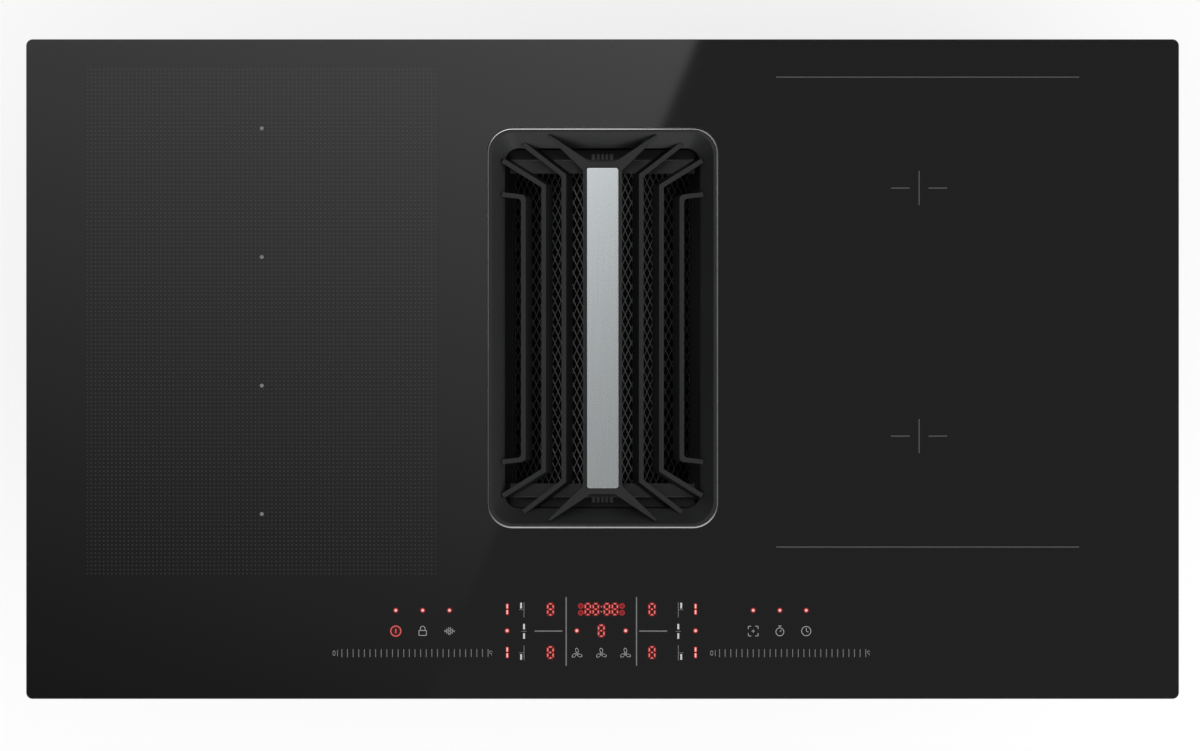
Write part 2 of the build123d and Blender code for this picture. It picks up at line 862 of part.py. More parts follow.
def motor_bearings():
    low = stator_levels()[0]
    high = scroll_roof - bearing_seat - bearing_drop
    lower = tube(bearing_radius, shaft_radius, low, low + bearing_width, fan_x, fan_y)
    upper = tube(bearing_radius, shaft_radius, high - bearing_width, high, fan_x, fan_y)
    return group([lower, upper])


def motor_stator():
    low, high = stator_levels()
    return tube(stator_radius, bearing_radius + bearing_tube_wall, low, high, fan_x, fan_y)


def fan_buffers():
    reach = spiral_radius * buffer_share
    places = [(fan_x + across * reach, fan_y + along * reach)
              for across in (-1, 1) for along in (-1, 1)]
    return group([rod(buffer_radius, scroll_top, tub_bottom, *place) for place in places])


# ---- outlet ----
def outlet_box():
    depth = outlet_depth
    y = outlet_y + depth / 2
    body = slab(box_width, depth, box_bottom, box_top, 0.0, box_x, y)
    body -= slab(box_width - 2 * box_wall, depth - 2 * box_wall, box_bottom + box_wall,
                 box_top - box_wall, 0.0, box_x, y)
    body -= slab(outlet_x - tongue_x, 4 * box_wall, scroll_ground, scroll_roof, 0.0,
                 box_x, outlet_y)
    hole = Pos(box_x, box_rear + 1, spigot_z) * Rot(90, 0, 0) * extrude(
        Circle(spigot_bore), amount=2 * box_wall)
    return body - hole


def round_part(radius, front, rear):
    """Cylinder along Y about the middle of the outlet."""
    return Pos(box_x, rear, spigot_z) * Rot(90, 0, 0) * extrude(Circle(radius),
                                                              amount=rear - front)


def exhaust_spigot():
    pipe = round_part(spigot_radius, box_rear, spigot_end)
    pipe += round_part(spigot_radius + spigot_flange, box_rear, box_rear + spigot_wall)
    pipe -= round_part(spigot_bore, box_rear - 1, spigot_end + 1)
    high = spigot_z + spigot_radius + 1
    return pipe - rod(pin_radius + pin_hole_gap, 2 * spigot_z - high, high, box_x, pin_y)


def damper_pin():
    reach = spigot_radius - pin_end_gap
    return rod(pin_radius, spigot_z - reach, spigot_z + reach, box_x, pin_y)


def damper_flap(side):
    """Half disc with its share of the sleeves on the upright pin."""
    radius = spigot_bore - flap_gap
    sleeve_radius = pin_radius + pin_hole_gap + sleeve_wall
    edge = sleeve_radius + sleeve_gap
    disc = round_part(radius, pin_y - flap_thickness / 2, pin_y + flap_thickness / 2)
    span = 2 * spigot_radius
    middle = box_x + side * (edge + span / 2)
    flap = disc & slab(span, span, spigot_z - span, spigot_z + span, 0.0, middle, pin_y)
    reach = radius - 2 * sleeve_radius
    length = 2 * reach / sleeve_count
    for i in range(sleeve_count):
        if (i % 2 == 0) == (side > 0):
            low = spigot_z - reach + i * length + sleeve_gap / 2
            high = low + length - sleeve_gap
            flap += rod(sleeve_radius, low, high, box_x, pin_y)
            flap += slab(edge + 1, flap_thickness, low, high, 0.0,
                         box_x + side * (edge + 1) / 2, pin_y)
            flap -= rod(pin_radius + pin_hole_gap, low - 1, high + 1, box_x, pin_y)
    return flap


# ---- cooking zones ----
def zone_tray(side):
    plate = slab(zone_width, zone_depth, plate_bottom, ferrite_bottom, tray_corner,
                 side * zone_x, zone_y)
    lip = frame(zone_width, zone_depth, tray_plate, ferrite_bottom, former_bottom, tray_corner,
                side * zone_x, zone_y)
    return plate + lip


def flex_centres():
    return [(-zone_x, zone_front + (i + 0.5) * flex_pitch) for i in range(flex_count)]


def round_centres():
    return [(zone_x, round_y + side * round_pitch / 2) for side in (-1, 1)]


def sensor_hole(place):
    return rod(sensor_radius + sensor_gap, former_bottom - 1, mica_bottom + 1, *place)


def flex_coil(place):
    """Flat racetrack winding in its former."""
    low = former_bottom + coil_floor
    high = low + coil_thickness
    width = flex_width - 2 * coil_margin
    length = flex_length - 2 * coil_margin
    turns = coil_round * flex_length
    outer = slab(width, length, low, high, length * coil_round, *place)
    inner_length = length - 2 * turns
    inner_width = width - 2 * turns
    inner = slab(inner_width, inner_length, low - 1, high + 1, inner_length * coil_round, *place)
    return outer - inner


def flex_coil_formers():
    formers = []
    for place in flex_centres():
        former = slab(flex_width, flex_length, former_bottom, mica_bottom, coil_margin, *place)
        well = flex_coil(place)
        lift = mica_bottom - former_bottom - coil_floor - coil_thickness
        former -= [well, Pos(0, 0, lift) * well, sensor_hole(place)]
        formers.append(former)
    return group(formers)


def round_coil(place):
    low = former_bottom + coil_floor
    return tube(round_radius - coil_margin, round_inner, low, low + coil_thickness, *place)


def round_coil_formers():
    formers = []
    for place in round_centres():
        former = rod(round_radius, former_bottom, mica_bottom, *place)
        well = tube(round_radius - coil_margin, round_inner, former_bottom + coil_floor,
                    mica_bottom + 1, *place)
        formers.append(former - [well, sensor_hole(place)])
    return group(formers)


def ferrite_bars():
    bars = []
    for x, y in flex_centres():
        for step in range(ferrite_count):
            length = flex_length - 2 * coil_margin
            shift = (step - (ferrite_count - 1) / 2) * flex_width / ferrite_count
            bars.append(slab(ferrite_width, length, ferrite_bottom, former_bottom, 0.0,
                             x + shift, y))
    length = round_radius - coil_margin - round_inner
    bar = slab(length, ferrite_width, ferrite_bottom, former_bottom, 0.0,
               round_inner + length / 2, 0)
    for place in round_centres():
        bars += [Pos(*place) * (Rot(0, 0, i * 45) * bar) for i in range(8)]
    return group(bars)


def mica_sheets():
    sheets = []
    for side, centres in ((-1, flex_centres()), (1, round_centres())):
        sheet = slab(zone_width, zone_depth, mica_bottom, glass_low, tray_corner, side * zone_x,
                     zone_y)
        sheets.append(sheet - [rod(sensor_radius, mica_bottom - 1, glass_low + 1, *place)
                               for place in centres])
    return group(sheets)


def temperature_sensors():
    radius = sensor_radius - fit_gap
    return group([rod(radius, ferrite_bottom, glass_low, *place)
                  for place in flex_centres() + round_centres()])


def tray_springs():
    springs = []
    for side in (-1, 1):
        for across in (-1, 1):
            for along in (-1, 1):
                x = side * zone_x + across * (zone_width / 2 - post_inset)
                y = zone_y + along * (zone_depth / 2 - post_inset)
                springs.append(tube(post_radius, post_bore, tub_floor, plate_bottom, x, y))
    return group(springs)


# ---- electronics ----
def power_board(side):
    x = side * zone_x
    board = slab(board_width, board_depth, board_bottom, board_top, board_corner, x, zone_y)
    for across in (-1, 1):
        for along in (-1, 1):
            place = (x + across * (board_width / 2 - standoff_inset),
                     zone_y + along * (board_depth / 2 - standoff_inset))
            board += rod(standoff_radius, tub_floor, board_bottom, *place)
    return board


def heat_sink(side):
    x = side * zone_x
    sink = slab(sink_width, sink_depth, board_top, board_top + sink_base, 0.0, x, zone_y)
    pitch = (sink_width - fin_thickness) / (fin_count - 1)
    for i in range(fin_count):
        fin_x = x - sink_width / 2 + fin_thickness / 2 + i * pitch
        sink += slab(fin_thickness, sink_depth, board_top, board_top + sink_height, 0.0, fin_x,
                     zone_y)
    return sink


def board_parts():
    """Smoothing capacitors and chokes beside each heat sink."""
    parts = []
    for side in (-1, 1):
        for across in (-1, 1):
            x = side * zone_x + across * (board_width / 2 + sink_width / 2) / 2
            for step in (-1, 0, 1):
                y = zone_y + step * 3 * capacitor_radius
                parts.append(rod(capacitor_radius, board_top, board_top + capacitor_height, x, y))
            for along in (-1, 1):
                y = zone_y + along * (board_depth / 2 - choke_size)
                parts.append(slab(choke_size, choke_size, board_top, board_top + choke_size / 2,
                                  board_corner, x, y))
    return group(parts)


def touch_board():
    low = panel_top - board_thickness
    board = slab(panel_length, panel_depth, low, panel_top, board_corner, 0, panel_y)
    reach = panel_length / 2 - standoff_inset
    for x in (-reach, 0, reach):
        board += rod(standoff_radius, tub_floor, low, x,
                     panel_y - panel_depth / 2 + standoff_inset)
    return board


def display_modules():
    """The timer, the four zone digits and the fan's digit, close under the glass."""
    high = panel_top + display_height
    modules = [slab(timer_width, timer_depth, panel_top, high, 0.0, 0, panel_y + display_rear)]
    places = [(0, display_middle)]
    places += [(x, y) for x in (-display_x, display_x) for y in (display_rear, display_front)]
    for x, y in places:
        modules.append(slab(digit_width, digit_depth, panel_top, high, 0.0, x, panel_y + y))
    return group(modules)


def touch_pads():
    """A sensor pad under each symbol and one long pad under each slider."""
    pads = []
    for side in (-1, 1):
        pads.append(slab(slider_length, slider_depth, panel_top, glass_low, 0.0,
                         side * slider_x, panel_y + slider_y))
        for step in (-1, 0, 1):
            pads.append(rod(pad_radius, panel_top, glass_low, side * pad_x + step * pad_pitch,
                            panel_y + pad_y))
    for step in (-1, 0, 1):
        pads.append(rod(pad_radius, panel_top, glass_low, step * fan_pad_pitch,
                        panel_y + slider_y))
    return group(pads)


def cooler_frame(side):
    x = side * zone_x
    body = slab(cooler_size, cooler_size, tub_floor, tub_floor + cooler_height, cooler_corner, x,
                cooler_y)
    body -= rod(cooler_bore, tub_floor - 1, tub_floor + cooler_height + 1, x, cooler_y)
    strut = slab(2 * cooler_bore + 2, cooler_strut, tub_floor, tub_floor + cooler_base)
    body += [Pos(x, cooler_y, 0) * (Rot(0, 0, turn) * strut) for turn in (45, 135)]
    body += rod(cooler_hub, tub_floor, tub_floor + cooler_base, x, cooler_y)
    return body - rod(cooler_pin, tub_floor + 1, tub_floor + cooler_base + 1, x, cooler_y)


def cooler_rotor(side):
    low = tub_floor + cooler_base + 1
    high = tub_floor + cooler_height - cooler_gap
    hub = rod(cooler_hub, low, high)
    reach = cooler_bore - cooler_gap
    blade = slab(cooler_bore, blade_thickness, -cooler_chord / 2, cooler_chord / 2, 0.0,
                 cooler_bore / 2, 0)
    blade = Pos(0, 0, (low + high) / 2) * (Rot(cooler_pitch, 0, 0) * blade)
    rotor = hub + [Rot(0, 0, i * 360 / cooler_blades) * blade for i in range(cooler_blades)]
    rotor = rotor & rod(reach, low, high)
    rotor += rod(cooler_pin - running_gap, tub_floor + 1, low)
    return Pos(side * zone_x, cooler_y, 0) * rotor


def terminal_place():
    x, y = gland_place()
    return x + gland_radius + terminal_length / 2 + terminal_gap, y


def terminal_block():
    x, y = terminal_place()
    block = slab(terminal_length, terminal_width, tub_floor, tub_floor + terminal_height, 0.0,
                 x, y)
    top = tub_floor + terminal_height
    pitch = terminal_length / terminal_count
    for i in range(terminal_count):
        place = x + (i - (terminal_count - 1) / 2) * pitch
        block -= slab(pitch - terminal_wall, terminal_width / 2, top - terminal_well, top + 1, 0.0,
                      place, y)
    return block


def terminal_cover():
    x, y = terminal_place()
    return slab(terminal_length + 2 * cover_margin, terminal_width + 2 * cover_margin,
                tub_bottom - cover_sheet, tub_bottom, cover_corner, x, y)


def cable_gland():
    x, y = gland_place()
    gland = rod(gland_radius, tub_bottom - gland_length, tub_bottom, x, y)
    top = tub_floor + gland_nut
    gland += rod(gland_radius - gland_step - running_gap, tub_bottom, top, x, y)
    hexagon = RegularPolygon(gland_radius + gland_hex, 6)
    gland += Pos(x, y, tub_bottom - gland_nut) * extrude(hexagon, amount=gland_nut)
    return gland - rod(gland_bore, tub_bottom - gland_length - 1, top + 1, x, y)


# ---- brackets and screws ----
def bracket_places():
    return [(across, along * bracket_y) for across in (-1, 1) for along in (-1, 1)]


def clamp_place(across):
    return across * (tub_length / 2 + bracket_reach - clamp_edge)


def mounting_brackets():
    """Angles on the tub's ends; a screw through each foot presses up against the worktop."""
    brackets = []
    foot_top = tub_bottom + bracket_sheet
    for across, y in bracket_places():
        x = across * tub_length / 2
        leg = slab(bracket_sheet, bracket_width, tub_bottom, tub_bottom + bracket_height, 0.0,
                   x + across * bracket_sheet / 2, y)
        foot = slab(bracket_reach, bracket_width, tub_bottom, foot_top, 0.0,
                    x + across * bracket_reach / 2, y)
        hole = rod(clamp_radius, tub_bottom - 1, foot_top + 1, clamp_place(across), y)
        brackets.append(leg + foot - hole)
    return group(brackets)


def clamp_screws():
    """Each has a thread through the bracket's foot and a turned point that meets the worktop."""
    screws = []
    low = tub_bottom - clamp_head
    for across, y in bracket_places():
        x = clamp_place(across)
        screw = rod(clamp_radius - clamp_play, low, tub_bottom + clamp_thread, x, y)
        screw += rod(clamp_point, low, low + clamp_length, x, y)
        screw += rod(clamp_radius + clamp_head_reach, low, tub_bottom, x, y)
        screws.append(screw)
    return group(screws)


def casing_screw_places():
    half_x = (hole_width + flange_reach) / 2
    return [(across * half_x, intake_y + along * screw_pitch) for across in (-1, 1)
            for along in (-1, 0, 1)]


def casing_screw_holes(low, high):
    return [rod(screw_radius + running_gap, low, high, *place)
            for place in casing_screw_places()]


def casing_screws():
    """Pan-head screws that hold the shaft's flange to the tub floor, put in from below."""
    low = tub_bottom - flange_plate
    screws = []
    for x, y in casing_screw_places():
        head = rod(screw_head, low - screw_head_height, low, x, y)
        screws.append(head + rod(screw_radius, low, tub_floor + screw_end, x, y))
    return group(screws)


nodes = {
    "glass_plate": glass_plate(),
    "glass_seal": glass_seal(),
    "casing_tub": casing_tub(),
    "intake_trim": intake_trim(),
    "grille_ring": grille_ring(),
    "grille_bars_left": group(grille_bars()),
    "grille_bars_right": group([mirrored(bar) for bar in grille_bars()]),
    "strip_holder": strip_holder(),
    "grille_strip": grille_strip(),
    "filter_frame": filter_frame(),
    "filter_mesh_left": filter_mesh(-1),
    "filter_mesh_right": filter_mesh(1),
    "filter_latches": filter_latches(),
    "duct_seal": duct_seal(),
    "intake_shaft": intake_shaft(),
    "sump_shell": sump_shell(),
    "plenum_lid": plenum_lid(),
    "drip_tray": drip_tray(),
    "scroll_lower": scroll_lower(),
    "scroll_upper": scroll_upper(),
    "inlet_ring": inlet_ring(),
    "impeller": impeller(),
    "motor_rotor": motor_rotor(),
    "motor_shaft": motor_shaft(),
    "motor_stator": motor_stator(),
    "motor_flange": motor_flange(),
    "motor_bearings": motor_bearings(),
    "fan_buffers": fan_buffers(),
    "outlet_box": outlet_box(),
    "exhaust_spigot": exhaust_spigot(),
    "damper_pin": damper_pin(),
    "damper_flap_left": damper_flap(-1),
    "damper_flap_right": damper_flap(1),
    "flex_coil_tray": zone_tray(-1),
    "round_coil_tray": zone_tray(1),
    "flex_coil_formers": flex_coil_formers(),
    "flex_coil_windings": group([flex_coil(place) for place in flex_centres()]),
    "round_coil_formers": round_coil_formers(),
    "round_coil_windings": group([round_coil(place) for place in round_centres()]),
    "ferrite_bars": ferrite_bars(),
    "mica_sheets": mica_sheets(),
    "temperature_sensors": temperature_sensors(),
    "tray_springs": tray_springs(),
    "power_board_left": power_board(-1),
    "power_board_right": power_board(1),
    "heat_sink_left": heat_sink(-1),
    "heat_sink_right": heat_sink(1),
    "board_parts": board_parts(),
    "touch_board": touch_board(),
    "display_modules": display_modules(),
    "touch_pads": touch_pads(),
    "cooling_fan_frames": group([cooler_frame(-1), cooler_frame(1)]),
    "cooling_fan_rotor_left": cooler_rotor(-1),
    "cooling_fan_rotor_right": cooler_rotor(1),
    "terminal_block": terminal_block(),
    "terminal_cover": terminal_cover(),
    "cable_gland": cable_gland(),
    "mounting_brackets": mounting_brackets(),
    "clamp_screws": clamp_screws(),
    "casing_screws": casing_screws(),
}

os.makedirs("parts", exist_ok=True)
for name, shape in nodes.items():
    export_step(shape, f"parts/{name}.step")
print(len(nodes), "nodes written")
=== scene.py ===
# %% [markdown]
# # A downdraft induction cooktop
# The object is a flat black glass hob with an extractor in its middle. Its solids come from a
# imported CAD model, which is loaded as a fixed frame: nothing here moves or reshapes them. This
# lesson adds what CAD leaves out: finishes, printed marks, lit digits, the fine mesh of the
# grease filter, and small shapes such as ribs and rivets. Starting from the frame keeps every
# added piece in its true place.

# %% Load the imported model
import json
from collections import namedtuple
from math import atan2, cos, hypot, radians, sin

import bmesh
import bpy
from mathutils import Matrix, Vector
from mathutils.bvhtree import BVHTree


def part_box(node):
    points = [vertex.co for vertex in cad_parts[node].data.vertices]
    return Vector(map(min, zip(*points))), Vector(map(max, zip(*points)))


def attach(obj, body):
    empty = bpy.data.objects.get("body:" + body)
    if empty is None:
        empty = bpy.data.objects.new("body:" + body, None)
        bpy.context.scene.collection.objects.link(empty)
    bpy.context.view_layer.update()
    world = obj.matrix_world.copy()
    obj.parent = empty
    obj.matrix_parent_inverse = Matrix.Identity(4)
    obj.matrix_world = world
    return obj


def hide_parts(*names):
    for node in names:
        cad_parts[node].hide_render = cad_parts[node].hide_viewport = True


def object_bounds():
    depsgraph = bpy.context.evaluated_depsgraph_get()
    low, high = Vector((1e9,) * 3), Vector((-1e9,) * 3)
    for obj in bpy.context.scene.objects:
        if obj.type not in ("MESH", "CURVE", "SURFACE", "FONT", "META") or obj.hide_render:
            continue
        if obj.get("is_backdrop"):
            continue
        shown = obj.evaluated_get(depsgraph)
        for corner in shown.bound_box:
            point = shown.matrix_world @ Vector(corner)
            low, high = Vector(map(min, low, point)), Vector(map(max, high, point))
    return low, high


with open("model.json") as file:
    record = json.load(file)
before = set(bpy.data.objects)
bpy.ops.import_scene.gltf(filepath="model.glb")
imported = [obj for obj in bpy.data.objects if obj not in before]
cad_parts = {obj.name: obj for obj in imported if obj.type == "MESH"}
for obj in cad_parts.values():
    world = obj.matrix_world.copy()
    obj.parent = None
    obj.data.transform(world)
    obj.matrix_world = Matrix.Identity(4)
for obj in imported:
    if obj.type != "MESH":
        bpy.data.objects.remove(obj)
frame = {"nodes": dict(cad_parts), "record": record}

MM = 0.001
cad_low, cad_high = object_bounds()
print("CAD box in mm:", [round(v / MM, 1) for v in (*cad_low, *cad_high)])

# %% [markdown]
# ## Camera
# The picture is taken from straight above, so the glass is a plain rectangle in it. A long lens
# far away keeps the sides of the intake nearly hidden, as they are there. An orthographic
# camera would hide them wholly, so a real lens was chosen. The lens and the width that the
# picture covers give the height: width times lens, over the sensor's width.

# %% Place the camera
def linked(name, data):
    """An object for a mesh, a lamp or a camera, in the scene."""
    thing = bpy.data.objects.new(name, data)
    bpy.context.scene.collection.objects.link(thing)
    return thing


glass_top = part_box("glass_plate")[1].z
picture_width = 936.7 * MM
picture_middle = (-2 * MM, -5 * MM)
lens = 100
sensor = 36
camera = bpy.data.cameras.new("Camera")
camera.lens = lens
camera.sensor_width = sensor
camera.clip_end = 100
camera_height = picture_width * lens / sensor
camera_object = linked("Camera", camera)
camera_object.location = (*picture_middle, glass_top + camera_height)
bpy.context.scene.camera = camera_object
bpy.context.scene.view_settings.view_transform = "Standard"
print("camera height above the glass:", round(camera_height, 3), "m")

# %% [markdown]
# ## Nodes and colours
# Materials, the world and the floor are all node trees. One small function that adds a node,
# sets it and links it keeps each tree readable as a list of steps. Colours are written as the
# hex values a picture editor shows and turned to the linear values that shaders work in.

# %% A node with its settings and links, and a colour
def add(tree, kind, sockets=None, **settings):
    """Adds a node. A socket takes a value, an output, or a node, for its first output."""
    node = tree.nodes.new(kind)
    for name, value in settings.items():
        setattr(node, name, value)
    for key, value in (sockets or {}).items():
        if isinstance(value, bpy.types.Node):
            value = value.outputs[0]
        if isinstance(value, bpy.types.NodeSocket):
            tree.links.new(value, node.inputs[key])
        else:
            node.inputs[key].default_value = value
    return node


def linear(colour):
    """An sRGB hex colour as linear red, green, blue and 1."""
    values = [int(colour[i:i + 2], 16) / 255 for i in (1, 3, 5)]
    return [v / 12.92 if v <= 0.04045 else ((v + 0.055) / 1.055) ** 2.4 for v in values] + [1]


print("mid grey is", round(linear("#808080")[0], 3), "in linear light")

# %% [markdown]
# ## Studio
# A studio is an even pale room with one soft lamp. Polished glass is a mirror, so it shows the
# room above it. In the picture that is a pale ceiling cut by a slanting dark edge. A world that
# reads the ray's direction gives both: diffuse rays see pale walls, glossy rays see the ceiling
# and dimmer walls below it. A painted picture of a room would also do, but it would need an
# image file. The first steps turn the ray's direction into a place on the ceiling.

# %% Where a ray meets the ceiling, one unit above
world = bpy.data.worlds.new("Studio")
world.use_nodes = True
bpy.context.scene.world = world
tree = world.node_tree
tree.nodes.clear()
direction = add(tree, "ShaderNodeTexCoord").outputs["Generated"]
heading = add(tree, "ShaderNodeSeparateXYZ", {0: direction})
rise = heading.outputs["Z"]
up = add(tree, "ShaderNodeMath", {0: rise, 1: 0.05}, operation="MAXIMUM")
across = add(tree, "ShaderNodeMath", {0: heading.outputs["X"], 1: up}, operation="DIVIDE")
along = add(tree, "ShaderNodeMath", {0: heading.outputs["Y"], 1: up}, operation="DIVIDE")
print("world nodes so far:", len(tree.nodes))

# %% The ceiling: pale and fading left of a slanting edge, dim right of it
edge_lean = -0.408
edge_from, edge_to = -0.0135, -0.0105
fade_along, fade_start, fade_power = 2.777, 0.979, 2.47
pale_tone, dim_tone = 0.92, 0.39
slant = add(tree, "ShaderNodeMath", {0: along, 1: edge_lean, 2: across},
            operation="MULTIPLY_ADD")
edge = add(tree, "ShaderNodeMapRange", {"Value": slant, "From Min": edge_from, "From Max": edge_to},
           interpolation_type="SMOOTHSTEP")
fade = add(tree, "ShaderNodeMath", {0: along, 1: fade_along, 2: fade_start},
           operation="MULTIPLY_ADD")
fade = add(tree, "ShaderNodeMath", {0: fade, 1: across}, operation="ADD")
fade = add(tree, "ShaderNodeClamp", {"Value": fade, "Min": 0.3, "Max": 1.3})
fade = add(tree, "ShaderNodeMath", {0: fade, 1: fade_power}, operation="POWER")
pale = add(tree, "ShaderNodeMath", {0: fade, 1: pale_tone}, operation="MULTIPLY")
ceiling = add(tree, "ShaderNodeMix", {0: edge, 2: pale, 3: dim_tone}, data_type="FLOAT")
print("world nodes with the ceiling:", len(tree.nodes))

# %% The walls: brighter to the front and right, and in a mirror dimmer above a lamp's height
bright_heading = (0.54, -0.57, 0.0)
wall_tone = 0.41
walls = add(tree, "ShaderNodeVectorMath", {0: direction, 1: bright_heading},
            operation="DOT_PRODUCT").outputs["Value"]
walls = add(tree, "ShaderNodeMath", {0: walls, 1: wall_tone}, operation="ADD")
dimming = add(tree, "ShaderNodeMapRange",
              {"Value": rise, "From Min": 0.12, "From Max": 0.30, "To Min": 1.0, "To Max": 0.5})
skyline = add(tree, "ShaderNodeMapRange",
              {"Value": rise, "From Min": 0.10, "From Max": 0.35, "To Min": 0.02, "To Max": 0.30})
mirror_walls = add(tree, "ShaderNodeMath", {0: walls, 1: dimming}, operation="MULTIPLY")
mirror_walls = add(tree, "ShaderNodeMath", {0: mirror_walls, 1: skyline}, operation="MAXIMUM")
print("world nodes with the walls:", len(tree.nodes))

# %% Each kind of ray sees its own room
even_gain, even_base = 1.5, 0.59
backdrop_tone = 1.26
world_grey = (0.8, 0.8, 0.8, 1)
ray = add(tree, "ShaderNodeLightPath").outputs
height = add(tree, "ShaderNodeMapRange", {"Value": rise, "From Min": 0.55, "From Max": 0.85},
             interpolation_type="SMOOTHSTEP")
mirror_room = add(tree, "ShaderNodeMix", {0: height, 2: mirror_walls, 3: ceiling},
                  data_type="FLOAT")
even_room = add(tree, "ShaderNodeMath", {0: walls, 1: even_gain, 2: even_base},
                operation="MULTIPLY_ADD")
seen = add(tree, "ShaderNodeMix", {0: ray["Is Glossy Ray"], 2: even_room, 3: mirror_room},
           data_type="FLOAT")
seen = add(tree, "ShaderNodeMix", {0: ray["Is Camera Ray"], 2: seen, 3: backdrop_tone},
           data_type="FLOAT")
background = add(tree, "ShaderNodeBackground", {"Color": world_grey, "Strength": seen})
add(tree, "ShaderNodeOutputWorld", {"Surface": background})
print("world nodes:", len(tree.nodes))

# %% A large soft lamp from the front
lamp = bpy.data.lights.new("Soft_lamp", "AREA")
lamp.shape = "SQUARE"
lamp.size = 1.8
lamp.energy = 19
lamp_object = linked("Soft_lamp", lamp)
lamp_object.location = (0.5, -2.7, 2.2)
aim = -lamp_object.location
lamp_object.rotation_euler = aim.to_track_quat("-Z", "Y").to_euler()
print("lamp at", tuple(lamp_object.location))

# %% [markdown]
# ## Floor
# The hob lies on a light table, as product pictures on white are often taken. The opal sheet
# glows evenly, which keeps the background nearly white and lights the underside, and its matt
# face still takes a soft shadow. From below the floor is clear, so that the underside shows.

# %% Make the floor
floor_reach = 12
shape = bmesh.new()
bmesh.ops.create_grid(shape, x_segments=1, y_segments=1, size=floor_reach,
                      matrix=Matrix.Translation((0, 0, cad_low.z - MM)))
floor_mesh = bpy.data.meshes.new("Floor")
shape.to_mesh(floor_mesh)
shape.free()
floor = linked("Floor", floor_mesh)
floor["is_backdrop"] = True
print("floor at", round(cad_low.z / MM, 1), "mm")

# %% The opal sheet: a glow and a matt face, clear from below
glow_share = 0.72
glow_strength = 1.04
opal = bpy.data.materials.new("Acrylic_opal_lit_table")
opal.use_nodes = True
tree = opal.node_tree
tree.nodes.clear()
below = add(tree, "ShaderNodeNewGeometry").outputs["Backfacing"]
matt = add(tree, "ShaderNodeBsdfDiffuse", {"Color": linear("#F2F2F2")})
glow = add(tree, "ShaderNodeEmission", {"Color": (1, 1, 1, 1), "Strength": glow_strength})
top = add(tree, "ShaderNodeMixShader", {0: glow_share, 1: matt, 2: glow})
clear = add(tree, "ShaderNodeBsdfTransparent")
sheet = add(tree, "ShaderNodeMixShader", {0: below, 1: top, 2: clear})
add(tree, "ShaderNodeOutputMaterial", {"Surface": sheet})
floor_mesh.materials.append(opal)
print("floor nodes:", len(tree.nodes))

# %% [markdown]
# ## How a finish is built
# A real surface is never one flat colour. Each finish below is one Principled shader plus a
# pattern that comes from how the surface was made: rolling, moulding, plating or coating. The
# pattern reads Object coordinates, so it stays on the piece when the piece moves. Two helpers
# do the common work: one starts a finish, one lets a 0 to 1 mask drive colour, gloss and height.
# The finishes are kept under the names of the record's slots, so that a piece finds its own.

# %% Start a finish, and lay a mask on it
Finish = namedtuple("Finish", "material tree shader place")
finishes = {}


def start_finish(name, colour, metallic, roughness, ior=None):
    """A material with one shader, and what a pattern is built from."""
    material = bpy.data.materials.new(name)
    material.use_nodes = True
    tree = material.node_tree
    shader = tree.nodes["Principled BSDF"]
    shader.inputs["Base Color"].default_value = linear(colour)
    shader.inputs["Metallic"].default_value = metallic
    shader.inputs["Roughness"].default_value = roughness
    if ior:
        shader.inputs["IOR"].default_value = ior
    place = add(tree, "ShaderNodeTexCoord").outputs["Object"]
    return Finish(material, tree, shader, place)


def lay(finish, mask, tones=None, rough=None, relief=None):
    """Lets a mask drive the finish: two hex tones, two roughnesses, or a height in mm."""
    tree, shader = finish.tree, finish.shader
    if tones:
        mix = add(tree, "ShaderNodeMix", {0: mask, 6: linear(tones[0]), 7: linear(tones[1])},
                  data_type="RGBA")
        tree.links.new(mix.outputs[2], shader.inputs["Base Color"])
    if rough:
        spread = add(tree, "ShaderNodeMapRange",
                     {"Value": mask, "To Min": rough[0], "To Max": rough[1]})
        tree.links.new(spread.outputs["Result"], shader.inputs["Roughness"])
    if relief:
        bump = add(tree, "ShaderNodeBump", {"Height": mask, "Distance": relief * MM})
        tree.links.new(bump.outputs["Normal"], shader.inputs["Normal"])
    return finish.material


def cells(size):
    """The texture scale that makes one cell this many millimetres wide."""
    return 1 / (size * MM)


print("a 10 mm cell has scale", cells(10))

# %% [markdown]
# ## Black glass-ceramic
# The plate is rolled glass-ceramic, polished on top, with ground edges. It is so dark that its
# look is almost all reflection. Over the left zone a screen of fine dots is printed, which only
# lifts the black a little. The dots are 3.2 mm apart. The ground edge is told by its normal.

# %% The glass, with the dots of the printed screen
screen_middle = (-266.2 * MM, 37.1 * MM, 0)
screen_half = (136.2 * MM, 197.9 * MM)
dot_pitch = 3.2
dot_share = 0.19
glass = start_finish("Glass_ceramic_polished", "#070708", 0.0, 0.02, 1.52)
tree = glass.tree
offset = add(tree, "ShaderNodeVectorMath", {0: glass.place, 1: screen_middle},
             operation="SUBTRACT")
away = add(tree, "ShaderNodeVectorMath", {0: offset}, operation="ABSOLUTE")
away = add(tree, "ShaderNodeSeparateXYZ", {0: away}).outputs
within_x = add(tree, "ShaderNodeMath", {0: away["X"], 1: screen_half[0]}, operation="LESS_THAN")
within_y = add(tree, "ShaderNodeMath", {0: away["Y"], 1: screen_half[1]}, operation="LESS_THAN")
within = add(tree, "ShaderNodeMath", {0: within_x, 1: within_y}, operation="MULTIPLY")
cell = add(tree, "ShaderNodeVectorMath", {0: offset, "Scale": cells(dot_pitch)},
           operation="SCALE")
cell = add(tree, "ShaderNodeVectorMath", {0: cell}, operation="FRACTION")
cell = add(tree, "ShaderNodeVectorMath", {0: cell, 1: (0.5, 0.5, 0.0)}, operation="SUBTRACT")
